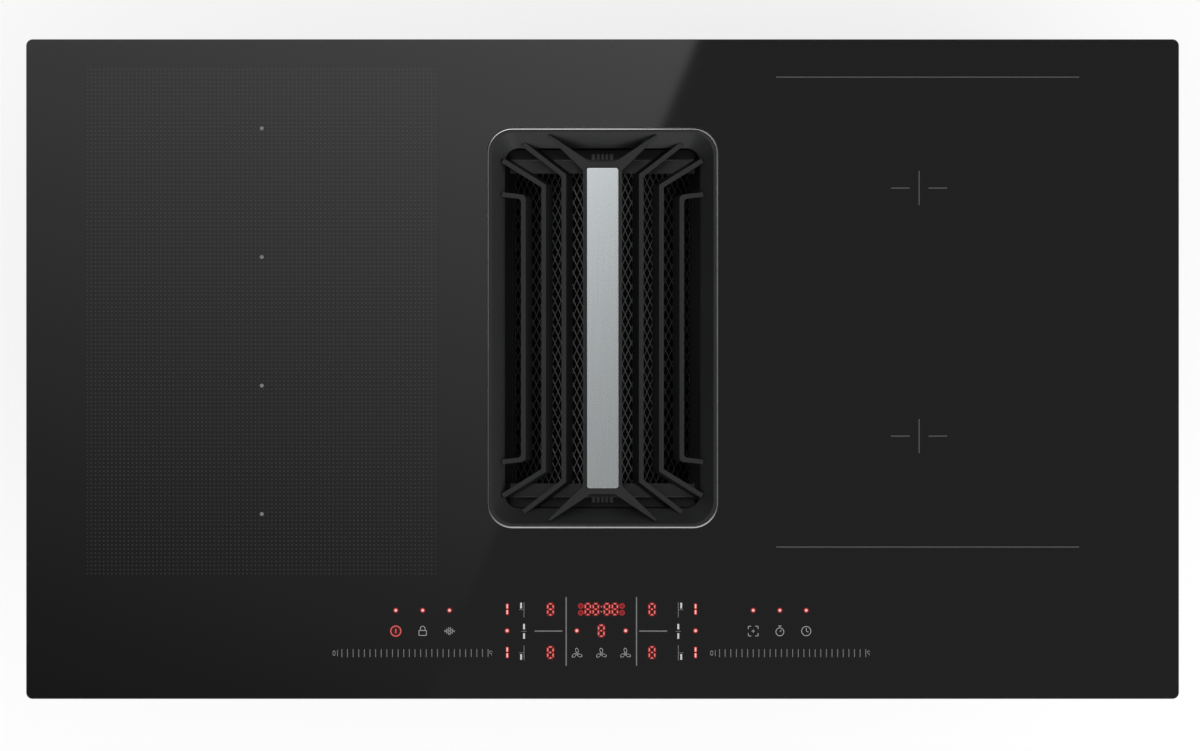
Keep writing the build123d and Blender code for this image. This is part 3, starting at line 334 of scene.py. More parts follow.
cell = add(tree, "ShaderNodeVectorMath", {0: cell, 1: (1, 1, 0)}, operation="MULTIPLY")
radius = add(tree, "ShaderNodeVectorMath", {0: cell}, operation="LENGTH").outputs["Value"]
dots = add(tree, "ShaderNodeMath", {0: radius, 1: dot_share}, operation="LESS_THAN")
dots = add(tree, "ShaderNodeMath", {0: dots, 1: within}, operation="MULTIPLY")
lay(glass, dots, tones=("#070708", "#2A2A2B"))
print("dots on the glass are", dot_pitch, "mm apart")

# %% Ground edges and the faint haze of a wiped surface
level_normal = 0.95
normal = add(tree, "ShaderNodeNewGeometry").outputs["Normal"]
normal = add(tree, "ShaderNodeSeparateXYZ", {0: normal}).outputs
ground = add(tree, "ShaderNodeMath", {0: normal["Z"], 1: level_normal}, operation="LESS_THAN")
haze = add(tree, "ShaderNodeTexNoise",
           {"Vector": glass.place, "Scale": cells(140), "Detail": 3})
haze = add(tree, "ShaderNodeMath", {0: haze, 1: 0.06}, operation="MULTIPLY")
dull = add(tree, "ShaderNodeMath", {0: ground, 1: haze}, operation="MAXIMUM")
finishes["black_glass"] = lay(glass, dull, rough=(0.015, 0.35))
print("glass nodes:", len(tree.nodes))

# %% [markdown]
# ## Coated castings and lacquered sheet
# Grille ring, bars and strip holder are die-cast and powder coated. The coat melts to a slightly
# wavy skin, like fine orange peel, with a soft sheen. A noise of about 1 mm gives the waves, and
# a second, wider one lets the gloss vary a little, as wiping does. The filter's sheet steel has
# a thin stoved lacquer instead, with painted shade: darker and duller low down, below the rim.

# %% Powder coat
coat = start_finish("Powder_coat_on_casting", "#18191A", 0.0, 0.42, 1.5)
peel = add(coat.tree, "ShaderNodeTexNoise",
           {"Vector": coat.place, "Scale": cells(1.1), "Detail": 2})
lay(coat, peel, relief=0.02)
wiped = add(coat.tree, "ShaderNodeTexNoise",
            {"Vector": coat.place, "Scale": cells(35), "Detail": 3})
finishes["black_enamel"] = lay(coat, wiped, ("#111213", "#181919"), (0.36, 0.50))
print("powder coat nodes:", len(coat.tree.nodes))

# %% Stoved lacquer, with painted shade low down
shade_below, unshaded_above = -23 * MM, -17 * MM
lacquer = start_finish("Steel_black_stoved", "#141516", 0.0, 0.40, 1.5)
tree = lacquer.tree
drawn = add(tree, "ShaderNodeMapping",
            {"Vector": lacquer.place, "Scale": (cells(6), cells(40), cells(6))})
drawn = add(tree, "ShaderNodeTexNoise", {"Vector": drawn, "Scale": 1.0, "Detail": 3})
level = add(tree, "ShaderNodeSeparateXYZ", {0: lacquer.place}).outputs["Z"]
# Painted shade: from about -17 mm down to -23 mm the lacquer is painted darker and duller, for the
# shade on the low ledge. The rolled grain is multiplied in.
painted_shade_mask = add(tree, "ShaderNodeMapRange",
            {"Value": level, "From Min": shade_below, "From Max": unshaded_above,
             "To Min": 0.0, "To Max": 1.6})
painted_shade_mask = add(tree, "ShaderNodeMath", {0: drawn, 1: painted_shade_mask}, operation="MULTIPLY")
filter_lacquer = lay(lacquer, painted_shade_mask, ("#0D0D0E", "#1A1B1C"), (0.50, 0.34), 0.01)
print("lacquer nodes:", len(tree.nodes))

# %% [markdown]
# ## Steel and aluminium
# The strip is satin anodised aluminium, the filter expanded stainless. Brushing and rolling
# leave fine lines along one direction. A noise stretched along that direction draws them: short
# across, long along. Metals keep the default IOR. The trim is stainless too. Its curved ends carry
# a painted highlight and its long sides a painted darker shade, for the light that falls on it.

# %% Metals with a grain
def grained(name, tones, rough, across, along, axis, relief):
    """A metal whose lines are this many mm across and along the axis they run in."""
    finish = start_finish(name, tones[0], 1.0, rough[0])
    scale = [cells(across)] * 3
    scale["XYZ".index(axis)] = cells(along)
    stretched = add(finish.tree, "ShaderNodeMapping", {"Vector": finish.place, "Scale": scale})
    lines = add(finish.tree, "ShaderNodeTexNoise",
                {"Vector": stretched, "Scale": 1.0, "Detail": 3, "Roughness": 0.65})
    return lay(finish, lines, tones, rough, relief)


for slot, name, tones, rough, across, along, axis, relief in (
        ("satin_aluminium", "Aluminium_satin_anodised", ("#D2D8DA", "#DEE3E5"), (0.13, 0.17),
         0.5, 45, "Y", 0.001),
        ("filter_steel", "Stainless_expanded", ("#A0A2A4", "#BCBEC0"), (0.34, 0.48),
         0.5, 8, "Y", 0.004),
        ("tray_aluminium", "Aluminium_mill_finish", ("#B4B8BA", "#CACDCF"), (0.28, 0.45),
         0.7, 60, "X", 0.004),
        ("motor_steel", "Steel_turned_oiled", ("#74787B", "#94979A"), (0.25, 0.40),
         0.4, 12, "Z", 0.004),
        ("spring_steel", "Spring_wire_drawn", ("#8E9295", "#AEB1B4"), (0.22, 0.36),
         0.3, 10, "Z", 0.004)):
    finishes[slot] = grained(name, tones, rough, across, along, axis, relief)
print("finishes so far:", len(finishes))

# %% The trim: painted highlight on the ends, painted shade on the long sides
trim_middle = (0, 32 * MM, 0)
shaded_until, highlit_from = 140 * MM, 155 * MM
trim = start_finish("Stainless_painted_highlit_ends", "#C6C8CA", 1.0, 0.10)
tree = trim.tree
reach = add(tree, "ShaderNodeVectorMath", {0: trim.place, 1: trim_middle}, operation="SUBTRACT")
reach = add(tree, "ShaderNodeSeparateXYZ", {0: reach}).outputs["Y"]
reach = add(tree, "ShaderNodeMath", {0: reach}, operation="ABSOLUTE")
# Painted highlight and shade: by distance along y, the tone goes from dark on the long sides to
# near white on the ends, with a small random rub on top.
painted_end_highlight = add(tree, "ShaderNodeMapRange",
             {"Value": reach, "From Min": shaded_until, "From Max": highlit_from,
              "To Min": 0.1, "To Max": 0.9}, interpolation_type="SMOOTHSTEP")
rub = add(tree, "ShaderNodeTexNoise", {"Vector": trim.place, "Scale": cells(4), "Detail": 3})
rub = add(tree, "ShaderNodeMath", {0: rub, 1: 0.2, 2: -0.1}, operation="MULTIPLY_ADD")
painted_end_highlight = add(tree, "ShaderNodeMath", {0: painted_end_highlight, 1: rub}, operation="ADD")
finishes["trim_steel"] = lay(trim, painted_end_highlight, ("#6E7072", "#FAFAFA"), (0.22, 0.06))
print("trim nodes:", len(tree.nodes))

# %% [markdown]
# ## Zinc
# The casing is hot-dip galvanised sheet. Zinc freezes in crystals, the spangle, which differ in
# tone and gloss from one to the next. A Voronoi texture gives such cells, each with its own
# random tone. The spangle of casing sheet is about 8 mm wide. Screws are plated in a bath
# instead, which leaves a fine mottle and no crystals.

# %% Spangled sheet and plated screws
zinc = start_finish("Steel_galvanised_spangled", "#A9AEB1", 1.0, 0.40)
spangle = add(zinc.tree, "ShaderNodeTexVoronoi", {"Vector": zinc.place, "Scale": cells(8)})
tone = add(zinc.tree, "ShaderNodeSeparateColor", {0: spangle.outputs["Color"]})
finishes["zinc_sheet"] = lay(zinc, tone, ("#8C9194", "#B4B9BC"), (0.30, 0.52))
plated = start_finish("Steel_zinc_plated", "#C4C5BE", 1.0, 0.30)
mottle = add(plated.tree, "ShaderNodeTexNoise",
             {"Vector": plated.place, "Scale": cells(2), "Detail": 4})
finishes["zinc_screw"] = lay(plated, mottle, ("#A9AAA2", "#D2D3CC"), (0.24, 0.42), 0.01)
print("finishes so far:", len(finishes))

# %% [markdown]
# ## Moulded plastics, foam, a painted shade sheet and ceramics
# Housings are injection moulded. The mould is spark eroded, which leaves a fine even grain of
# about 0.6 mm, and the flow leaves faint wide clouds of gloss. One helper makes them in any
# colour. Foam and the black sheet of painted shade under the filter's mesh are the same recipe with
# deep, coarse cells, and pressed or fired parts take it with a finer grain. That sheet's sheen is
# lowered so it stays black.

# %% Plastics and their kin
def moulded(name, tones, rough, grain, relief):
    """A matt moulding with an eroded grain and faint flow clouds."""
    finish = start_finish(name, tones[0], 0.0, rough[0], 1.46)
    pits = add(finish.tree, "ShaderNodeTexNoise",
               {"Vector": finish.place, "Scale": cells(grain), "Detail": 2})
    lay(finish, pits, relief=relief)
    clouds = add(finish.tree, "ShaderNodeTexNoise",
                 {"Vector": finish.place, "Scale": cells(45), "Detail": 3})
    return lay(finish, clouds, tones, rough)


for slot, name, tones, rough, grain, relief in (
        ("black_plastic", "Polypropylene_black_eroded", ("#17181A", "#232426"),
         (0.42, 0.56), 0.6, 0.03),
        ("grey_plastic", "ABS_grey_eroded", ("#5E6265", "#6C7073"), (0.38, 0.50), 0.6, 0.03),
        ("white_plastic", "Polyamide_white_moulded", ("#D6D3CB", "#E4E2DB"),
         (0.36, 0.48), 0.6, 0.02),
        ("former_plastic", "Polyamide_glass_filled", ("#3A3D3F", "#4C4F51"),
         (0.50, 0.62), 0.8, 0.03),
        ("seal_foam", "Polyurethane_foam_strip", ("#242426", "#37373A"),
         (0.85, 0.95), 1.2, 0.35),
        ("pad_foam", "Foam_conductive_grey", ("#55575A", "#66686B"), (0.80, 0.92), 0.9, 0.20),
        ("capacitor_film", "Capacitor_sleeve_shrunk", ("#22384F", "#2C4763"),
         (0.28, 0.38), 1.5, 0.01),
        ("display_red", "Acrylic_red_diffusing", ("#3A0B0D", "#521216"),
         (0.18, 0.28), 0.8, 0.01),
        ("ceramic", "Steatite_fired_unglazed", ("#CFC8B8", "#E0DACC"), (0.55, 0.70), 0.5, 0.02),
        ("ferrite", "Ferrite_sintered", ("#232326", "#303034"), (0.50, 0.66), 0.4, 0.03),
        ("mica", "Mica_sheet_pressed", ("#9C8455", "#C7B07C"), (0.22, 0.40), 3.0, 0.02)):
    finishes[slot] = moulded(name, tones, rough, grain, relief)
# Painted shade: a near-black sheet laid under the filter's mesh, so its gaps read dark.
black_shade_sheet = moulded("Sheet_black_painted_shade", ("#050506", "#0C0C0D"), (0.85, 0.95), 0.9, 0.3)
black_shade_sheet.node_tree.nodes["Principled BSDF"].inputs["Specular IOR Level"].default_value = 0.15
lip_rubber = moulded("Silicone_lip_black", ("#141415", "#1E1E20"), (0.40, 0.55), 1.0, 0.02)
# Painted highlight: a grey lighter than the lacquer, for the bright line on the filter's folded
# edges.
edge_highlight_steel = moulded("Steel_lacquer_painted_edge_highlight", ("#3C3D3E", "#565758"), (0.30, 0.42), 1.5, 0.01)
print("finishes so far:", len(finishes))

# %% The latch caps: painted highlight on the ridge tops, painted shade in the grooves
ridge_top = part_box("filter_latches")[1].z
cap = start_finish("Polyamide_black_painted_ridges", "#2A2B2D", 0.0, 0.40)
level = add(cap.tree, "ShaderNodeSeparateXYZ", {0: cap.place}).outputs["Z"]
# Painted highlight and shade: by height, the ridge tops are painted lighter and the grooves near
# black, with a random mottle on the tops.
ridge = add(cap.tree, "ShaderNodeMapRange",
            {"Value": level, "From Min": ridge_top - 0.8 * MM, "From Max": ridge_top - 0.1 * MM})
mottled_ridge_highlight = add(cap.tree, "ShaderNodeTexNoise",
             {"Vector": cap.place, "Scale": cells(2), "Detail": 3})
mottled_ridge_highlight = add(cap.tree, "ShaderNodeMath", {0: mottled_ridge_highlight, 1: 0.5, 2: 0.5}, operation="MULTIPLY_ADD")
mottled_ridge_highlight = add(cap.tree, "ShaderNodeMath", {0: mottled_ridge_highlight, 1: ridge}, operation="MULTIPLY")
latch_cap = lay(cap, mottled_ridge_highlight, ("#060607", "#454749"), (0.60, 0.32))
print("latch ridges end at", round(ridge_top / MM, 1), "mm")

# %% [markdown]
# ## Wound copper and circuit board
# The coils are wound from litz, a rope of enamelled copper strands, turn beside turn. The turns
# follow the coil's own line: circles on the right, racetracks on the left. So the mask is the
# distance from that line, cut into 3.2 mm turns. The board's copper tracks run square to each
# other under green solder resist, which a brick pattern draws well enough.

# %% Litz windings
def litz(name, fold):
    """Copper turns round coils. fold gives the distance from the coil's middle line."""
    finish = start_finish(name, "#9C5634", 1.0, 0.38)
    tree = finish.tree
    turns = add(tree, "ShaderNodeVectorMath", {0: fold(tree, finish.place)},
                operation="LENGTH").outputs["Value"]
    turns = add(tree, "ShaderNodeMath", {0: turns, 1: cells(3.2)}, operation="MULTIPLY")
    turns = add(tree, "ShaderNodeMath", {0: turns, 1: 0.5}, operation="PINGPONG")
    turns = add(tree, "ShaderNodeMath", {0: turns, 1: 2.0}, operation="MULTIPLY")
    return lay(finish, turns, ("#5E2F1B", "#C77E52"), (0.30, 0.45), 0.6)


def about_round_coils(tree, place):
    """Both round coils fold onto one: y is mirrored about the line between them."""
    low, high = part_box("round_coil_windings")
    half = (high.y - low.y - (high.x - low.x)) / 2
    offset = add(tree, "ShaderNodeVectorMath", {0: place, 1: (low + high) / 2},
                 operation="SUBTRACT")
    offset = add(tree, "ShaderNodeVectorMath", {0: offset}, operation="ABSOLUTE")
    offset = add(tree, "ShaderNodeVectorMath", {0: offset, 1: (0, half, 0)},
                 operation="SUBTRACT")
    return add(tree, "ShaderNodeVectorMath", {0: offset, 1: (1, 1, 0)}, operation="MULTIPLY")


finishes["copper_litz"] = litz("Litz_wound_round", about_round_coils)
print("finishes so far:", len(finishes))

# %% The flat windings
def about_flat_coils(tree, place):
    """The four racetracks fold onto one: y repeats, and x counts only past the straight."""
    low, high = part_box("flex_coil_formers")
    gap = 3 * MM
    pitch = (high.y - low.y + gap) / 4
    straight = (high.x - low.x) / 2 - pitch / 2
    start = (low + high) / 2
    start.y = low.y - gap / 2
    offset = add(tree, "ShaderNodeVectorMath", {0: place, 1: start}, operation="SUBTRACT")
    parts = add(tree, "ShaderNodeSeparateXYZ", {0: offset}).outputs
    row = add(tree, "ShaderNodeMath", {0: parts["Y"], 1: pitch / 2}, operation="PINGPONG")
    row = add(tree, "ShaderNodeMath", {0: pitch / 2, 1: row}, operation="SUBTRACT")
    past = add(tree, "ShaderNodeMath", {0: parts["X"]}, operation="ABSOLUTE")
    past = add(tree, "ShaderNodeMath", {0: past, 1: straight}, operation="SUBTRACT")
    past = add(tree, "ShaderNodeMath", {0: past, 1: 0.0}, operation="MAXIMUM")
    return add(tree, "ShaderNodeCombineXYZ", {"X": past, "Y": row})


flat_litz = litz("Litz_wound_flat", about_flat_coils)
print("flat windings done")

# %% Circuit board
board = start_finish("Board_solder_resist", "#0C4A2E", 0.0, 0.30, 1.5)
tracks = add(board.tree, "ShaderNodeTexBrick",
             {"Vector": board.place, "Scale": cells(16), "Mortar Size": 0.035,
              "Mortar Smooth": 0.1}, offset=0.37, squash=0.6)
finishes["board_green"] = lay(board, tracks.outputs["Fac"], ("#0A4029", "#1C6B44"),
                              (0.26, 0.36), 0.05)
print("finishes:", len(finishes))

# %% [markdown]
# ## Dress the CAD nodes
# Each node came with one material slot, named for its finish in the record. The table from slot
# to finish dresses them all, so no node is left in its plain import colour. The flat windings
# differ in line, the filter's frame is lacquered and its latches are rubbed, so these three are
# set by node.

# %% From slot to finish
slot_of = {part["node"]: part["material_slot"] for part in frame["record"]["subparts"]}
own_finish = {"flex_coil_windings": flat_litz, "filter_frame": filter_lacquer,
              "filter_latches": latch_cap}
for name, thing in frame["nodes"].items():
    thing.material_slots[0].material = own_finish.get(name) or finishes[slot_of[name]]
print("nodes dressed:", len(slot_of))

# %% [markdown]
# ## Helpers for new pieces
# Every new piece starts as a bmesh drawn in millimetres, which is how its sizes are known. One
# helper scales it to metres, turns its faces outwards, dresses it and lets it ride on a body.
# Boxes and flattened spheres come up often, so each has a helper of its own.

# %% Finish a piece
def made(name, shape, body, slot, material=None, replaced=()):
    """Closes a bmesh drawn in millimetres, gives it its finish, and lets it ride on a body."""
    bmesh.ops.recalc_face_normals(shape, faces=shape.faces)
    bmesh.ops.scale(shape, vec=(MM, MM, MM), verts=shape.verts)
    mesh = bpy.data.meshes.new(name)
    shape.to_mesh(mesh)
    shape.free()
    piece = linked(name, mesh)
    mesh.materials.append(material or finishes[slot])
    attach(piece, body)
    if replaced:
        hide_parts(*replaced)
    print(name, "has", len(mesh.polygons), "faces")


def box_mm(node):
    """A node's lowest and highest corners in mm."""
    low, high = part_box(node)
    return low / MM, high / MM


print("glass box in mm:", *box_mm("glass_plate"))

# %% Blocks, domes and upright cones
def block(shape, centre, size, turn=0.0):
    """A box about its centre, turned about the upright. Returns its corners."""
    place = Matrix.Translation(centre) @ Matrix.Rotation(turn, 4, "Z")
    return bmesh.ops.create_cube(shape, size=1, matrix=place @ Matrix.Diagonal((*size, 1)))["verts"]


def dome(shape, centre, reach):
    """The head of a screw or rivet: a sphere with three half widths, half of it sunk."""
    bmesh.ops.create_uvsphere(shape, u_segments=20, v_segments=10, radius=1,
                              matrix=Matrix.Translation(centre) @ Matrix.Diagonal((*reach, 1)))


def cone(shape, place, foot, head, depth, sides):
    """A closed cone or rod, with its axis along z before it is placed."""
    bmesh.ops.create_cone(shape, cap_ends=True, segments=sides, radius1=foot, radius2=head,
                          depth=depth, matrix=place)


def rounded(shape, edges, offset, segments):
    """Rounds edges, and gives the new faces the finish of the faces beside them."""
    bmesh.ops.bevel(shape, geom=edges, offset=offset, segments=segments, profile=0.5,
                    material=-1, affect="EDGES")


print("helpers ready")

# %% [markdown]
# ## The grease filter's mesh
# The roof of the grease filter is expanded metal: a sheet slit and pulled open into diamonds,
# here about 7 by 11 mm in the sheet, with strands 0.9 mm wide. The CAD sheet has fewer, larger
# holes, so a finer piece stands for it. A grid turned by 45 degrees and stretched is such a
# lattice; its faces are cut to the sheet's outline and made strands by the wireframe operator.
# Slitting each diamond as its own piece would give the same look with far more work. Behind the
# metal lies a black sheet of painted shade, so no light comes through from below and the gaps read
# dark.

# %% A flat lattice of strands
diamond_across = 6.8
diamond_along = 11.1
strand = 0.9
flatness = 0.4
diamonds = 64


def lattice(length, depth):
    """Diamonds cut to a rectangle and turned into strands."""
    shape = bmesh.new()
    bmesh.ops.create_grid(shape, x_segments=diamonds, y_segments=diamonds, size=diamonds / 2)
    bmesh.ops.rotate(shape, cent=(0, 0, 0), matrix=Matrix.Rotation(radians(45), 3, "Z"),
                     verts=shape.verts)
    bmesh.ops.scale(shape, vec=(diamond_across / 2 ** 0.5, diamond_along / 2 ** 0.5, 1),
                    verts=shape.verts)
    for normal, reach in (((1, 0, 0), length / 2), ((-1, 0, 0), length / 2),
                          ((0, 1, 0), depth / 2), ((0, -1, 0), depth / 2)):
        bmesh.ops.bisect_plane(shape, geom=shape.verts[:] + shape.edges[:] + shape.faces[:],
                               dist=0.0001, plane_co=Vector(normal) * reach, plane_no=normal,
                               clear_outer=True)
    bmesh.ops.wireframe(shape, faces=shape.faces, thickness=strand, offset=0.0,
                        use_replace=True, use_boundary=True, use_even_offset=True)
    bmesh.ops.scale(shape, vec=(1, 1, flatness), verts=shape.verts)
    return shape


print("strands are", strand, "by", round(strand * flatness, 2), "mm")

# %% A mat of painted shade under the mesh
def mat(length, depth, margin=1, thickness=0.3, drop=0.6):
    """A thin mat, a little smaller than the sheet and below it."""
    shape = bmesh.new()
    bmesh.ops.create_grid(shape, x_segments=12, y_segments=30, size=0.5)
    bmesh.ops.scale(shape, vec=(length - margin, depth - margin, 1), verts=shape.verts)
    bmesh.ops.solidify(shape, geom=shape.faces[:], thickness=thickness)
    bmesh.ops.translate(shape, vec=(0, 0, -drop), verts=shape.verts)
    return shape


for side, sign in (("left", -1), ("right", 1)):
    low, high = box_mm("filter_mesh_" + side)
    run, fall = high.x - low.x, high.z - low.z
    length, depth = hypot(run, fall), high.y - low.y
    slope = Matrix.Translation((low + high) / 2) @ Matrix.Rotation(sign * atan2(fall, run), 4, "Y")
    sheet, backing = lattice(length, depth), mat(length, depth)
    for shape in (sheet, backing):
        bmesh.ops.transform(shape, matrix=slope, verts=shape.verts)
    made("Expanded_mesh_" + side, sheet, "filter", "filter_steel",
         replaced=["filter_mesh_" + side])
    made("Filter_shade_sheet_" + side, backing, "filter", "seal_foam", black_shade_sheet)

# %% [markdown]
# ## Rounded edges
# The aluminium strip is sawn from a bar and tumbled, so its corners are round. The grille's
# outer bars are cast with round elbows. The filter's end walls are folded over at the top, which
# leaves a round edge, given a grey lighter than the lacquer as a painted highlight. Soft lips close
# the gap at both ends. All are small shapes that catch a thin line of light. Bevelled boxes and
# thin rods draw them, and the bars are copies of the CAD's whose elbows alone are bevelled, so that
# they still lie in the ring's notches.

# %% Round the strip
strip_low, strip_high = box_mm("grille_strip")
corner_round, rim_round = 1.8, 0.5
shape = bmesh.new()
block(shape, (strip_low + strip_high) / 2, strip_high - strip_low)
upright = [e for e in shape.edges if abs(e.verts[0].co.z - e.verts[1].co.z) > 1]
rounded(shape, upright, corner_round, 5)
rim = [e for e in shape.edges if min(v.co.z for v in e.verts) > strip_high.z - 0.01]
rounded(shape, rim, rim_round, 3)
made("Strip_rounded", shape, "grille", "satin_aluminium", replaced=["grille_strip"])

# %% Fold the filter's edges
frame_low, frame_high = box_mm("filter_frame")
wall_inset = 5
wall_length = 140
fold = 0.45
shape = bmesh.new()
for y in (frame_low.y + wall_inset + fold, frame_high.y - wall_inset - fold):
    lying = Matrix.Translation((0, y, frame_high.z)) @ Matrix.Rotation(radians(90), 4, "Y")
    cone(shape, lying, fold, fold, wall_length, 12)
# The folded edges take that lighter grey as a painted highlight.
made("Filter_folded_edges", shape, "filter", "filter_steel", edge_highlight_steel)

# %% Round the outer bars' elbows
elbow_along = (99, 106)
elbow_across = (52, 66)
outer_round, inner_round = 3.2, 2.6
bars_low, bars_high = box_mm("grille_bars_left")
bars_middle = (bars_low.y + bars_high.y) / 2


def at_elbow(edge):
    """True for an upright edge at the elbow of an outer bar."""
    head, foot = edge.verts[0].co, edge.verts[1].co
    spot = (head + foot) / 2
    return (abs(head.z - foot.z) > 1
            and elbow_along[0] < abs(spot.y - bars_middle) < elbow_along[1]
            and elbow_across[0] < abs(spot.x) < elbow_across[1])


for side in ("left", "right"):
    shape = bmesh.new()
    shape.from_mesh(frame["nodes"]["grille_bars_" + side].data)
    bmesh.ops.scale(shape, vec=(1 / MM, 1 / MM, 1 / MM), verts=shape.verts)
    bmesh.ops.remove_doubles(shape, verts=shape.verts, dist=0.001)
    bmesh.ops.dissolve_limit(shape, angle_limit=radians(1), verts=shape.verts, edges=shape.edges)
    for convex, offset in ((True, outer_round), (False, inner_round)):
        elbows = [e for e in shape.edges if e.is_convex == convex and at_elbow(e)]
        rounded(shape, elbows, offset, 6)
        print(side, "elbow edges:", len(elbows))
    made("Bars_cast_" + side, shape, "grille", "black_enamel",
         replaced=["grille_bars_" + side])

# %% The soft lips at both ends of the filter
lip_length, lip_width, lip_height = 148, 3, 0.8
ledge_top = box_mm("filter_latches")[0].z
shape = bmesh.new()
for y in (frame_low.y - lip_width / 2, frame_high.y + lip_width / 2):
    block(shape, (0, y, ledge_top - lip_height / 2), (lip_length, lip_width, lip_height))
made("Filter_end_lips", shape, "filter", "seal_foam", lip_rubber)

# %% [markdown]
# ## Ribs, beads and screws
# Thin walls need stiffening. The sump, the scroll and the outlet box are injection moulded with
# upright ribs, and the halves of the scroll are screwed together through small bosses. The tub
# is bent sheet, with long pressed beads and domed rivets. Each rib is a slim box. Its foot is
# found by casting a ray at the wall, so ribs follow the spiral of the scroll without any table
# of places.

# %% Find a wall, and stand a rib on it
def walls_of(node):
    """The node's faces in metres, ready to be hit by rays."""
    thing = frame["nodes"][node]
    points = [thing.matrix_world @ vert.co for vert in thing.data.vertices]
    return BVHTree.FromPolygons(points, [face.vertices[:] for face in thing.data.polygons])


def foot_on(walls, start, heading):
    """Where a level ray from outside meets the wall, and the way out from there, in mm."""
    place, out = walls.ray_cast(Vector(start) * MM, Vector(heading))[:2]
    return place / MM, Vector((out.x, out.y, 0)).normalized()


def rib(shape, foot, out, low, high, proud=2.5, thickness=1.6, sunk=0.3):
    """An upright rib that stands out from the wall at its foot."""
    middle = Vector((foot.x, foot.y, (low + high) / 2)) + out * (proud - sunk) / 2
    block(shape, middle, (proud + sunk, thickness, high - low), atan2(out.y, out.x))


print("rib helpers ready")

# %% Ribs round the scroll, and its screw bosses
wheel_low, wheel_high = box_mm("impeller")
wheel = (wheel_low + wheel_high) / 2
lower_low, lower_high = box_mm("scroll_lower")
upper_low, upper_high = box_mm("scroll_upper")
scroll_walls = walls_of("scroll_lower")
outside = 260
rib_level = lower_low.z + 15
rib_steps = 36
flange_lip = 2.5
flange_middle = 3.5
outlet_clearance = 8
boss_foot, boss_head, boss_height = 3.3, 3.5, 8
ribs, bosses, screws = bmesh.new(), bmesh.new(), bmesh.new()
for step in range(rib_steps):
    turn = radians(step * 360 / rib_steps)
    start = (wheel.x + outside * cos(turn), wheel.y + outside * sin(turn), rib_level)
    foot, out = foot_on(scroll_walls, start, (-cos(turn), -sin(turn), 0))
    if foot.y > lower_high.y - outlet_clearance:
        continue
    if step % 4:
        rib(ribs, foot, out, lower_low.z + 1, lower_high.z - flange_lip)
        rib(ribs, foot, out, upper_low.z + 0.5, upper_high.z - 1)
        continue
    centre = foot + out * flange_middle
    low = lower_high.z - flange_lip - boss_height
    cone(bosses, Matrix.Translation((centre.x, centre.y, low + boss_height / 2)),
         boss_foot, boss_head, boss_height, 20)
    dome(screws, (centre.x, centre.y, low), (2.7, 2.7, 1.5))
made("Scroll_ribs", ribs, "hob", "black_plastic")
made("Scroll_bosses", bosses, "hob", "black_plastic")
made("Scroll_screws", screws, "hob", "zinc_screw")

# %% Ribs on the sump and the outlet box
sump_low, sump_high = box_mm("sump_shell")
tray_low, tray_high = box_mm("drip_tray")
sump_walls = walls_of("sump_shell")
sump_level = (sump_low.z + sump_high.z) / 2
rim_thickness = 3
rib_low, rib_high = sump_low.z + 1, sump_high.z - rim_thickness
rib_pitch = 26
right_of_tray = [tray_high.x + rib_pitch * (step + 1) for step in range(9)]
over_tray = [tray_low.x + rib_pitch * step + 12 for step in range(6)]
along_side = [sump_low.y + rib_pitch * step + 30 for step in range(10)]
rays = [((x, -outside, sump_level), (0, 1, 0)) for x in right_of_tray]
rays += [((x, outside, sump_level), (0, -1, 0)) for x in right_of_tray + over_tray]
rays += [((sump_low.x - 50, y, sump_level), (1, 0, 0)) for y in along_side]
shape = bmesh.new()
for start, heading in rays:
    rib(shape, *foot_on(sump_walls, start, heading), rib_low, rib_high)
outlet_low, outlet_high = box_mm("outlet_box")
outlet_pitch = 14
for step in range(3):
    y = outlet_low.y + outlet_pitch * (step + 1)
    for x, way in ((outlet_low.x, -1), (outlet_high.x, 1)):
        rib(shape, Vector((x, y, 0)), Vector((way, 0, 0)), outlet_low.z + 1, outlet_high.z - 1)
made("Housing_ribs", shape, "hob", "black_plastic")

# %% Beads of the tub
def bead(shape, centre, size):
    """A pressed bead: a low bar with rounded edges, half sunk in the sheet."""
    corners = block(shape, centre, size)
    edges = list(dict.fromkeys(edge for vert in corners for edge in vert.link_edges))
    rounded(shape, edges, min(size) * 0.45, 3)


tub_low, tub_high = box_mm("casing_tub")
side_level = (tub_low.z + tub_high.z) / 2
proud, side_bead, floor_bead = 2.0, 6, 9
shape = bmesh.new()
for y in (tub_low.y, tub_high.y):
    bead(shape, (0, y, side_level), (780, proud, side_bead))
for x in (tub_low.x, tub_high.x):
    bead(shape, (x, 0, side_level), (proud, 240, side_bead))
for y in (-105, -15, 75):
    bead(shape, (-262, y, tub_low.z), (230, floor_bead, proud))
made("Tub_beads", shape, "hob", "zinc_sheet")

# %% Rivets of the tub, in its long sides and under both power boards
rivet, rivet_rise = 3.2, 1.4
side_rise, board_inset = 14, 8
shape = bmesh.new()
for x in (-350, -120, 120, 350):
    for y in (tub_low.y, tub_high.y):
        dome(shape, (x, y, side_level + side_rise), (rivet, rivet_rise, rivet))
for node in ("power_board_left", "power_board_right"):
    low, high = box_mm(node)
    for x in (low.x + board_inset, high.x - board_inset):
        for y in (low.y + board_inset, high.y - board_inset):
            dome(shape, (x, y, tub_low.z), (rivet, rivet, rivet_rise))
made("Tub_rivets", shape, "hob", "zinc_screw")

# %% [markdown]
# ## Printed marks
# The marks on the glass are ceramic ink, screen printed and fired on. They are a few hundredths
# of a millimetre thick, so each is a flat box, disc or piece of a ring laid on the glass. A
# decal picture would be quicker, but solid strips stay sharp from near by and need no image.
# Three small helpers draw all of them: a stroke, a dot and a ring or arc.

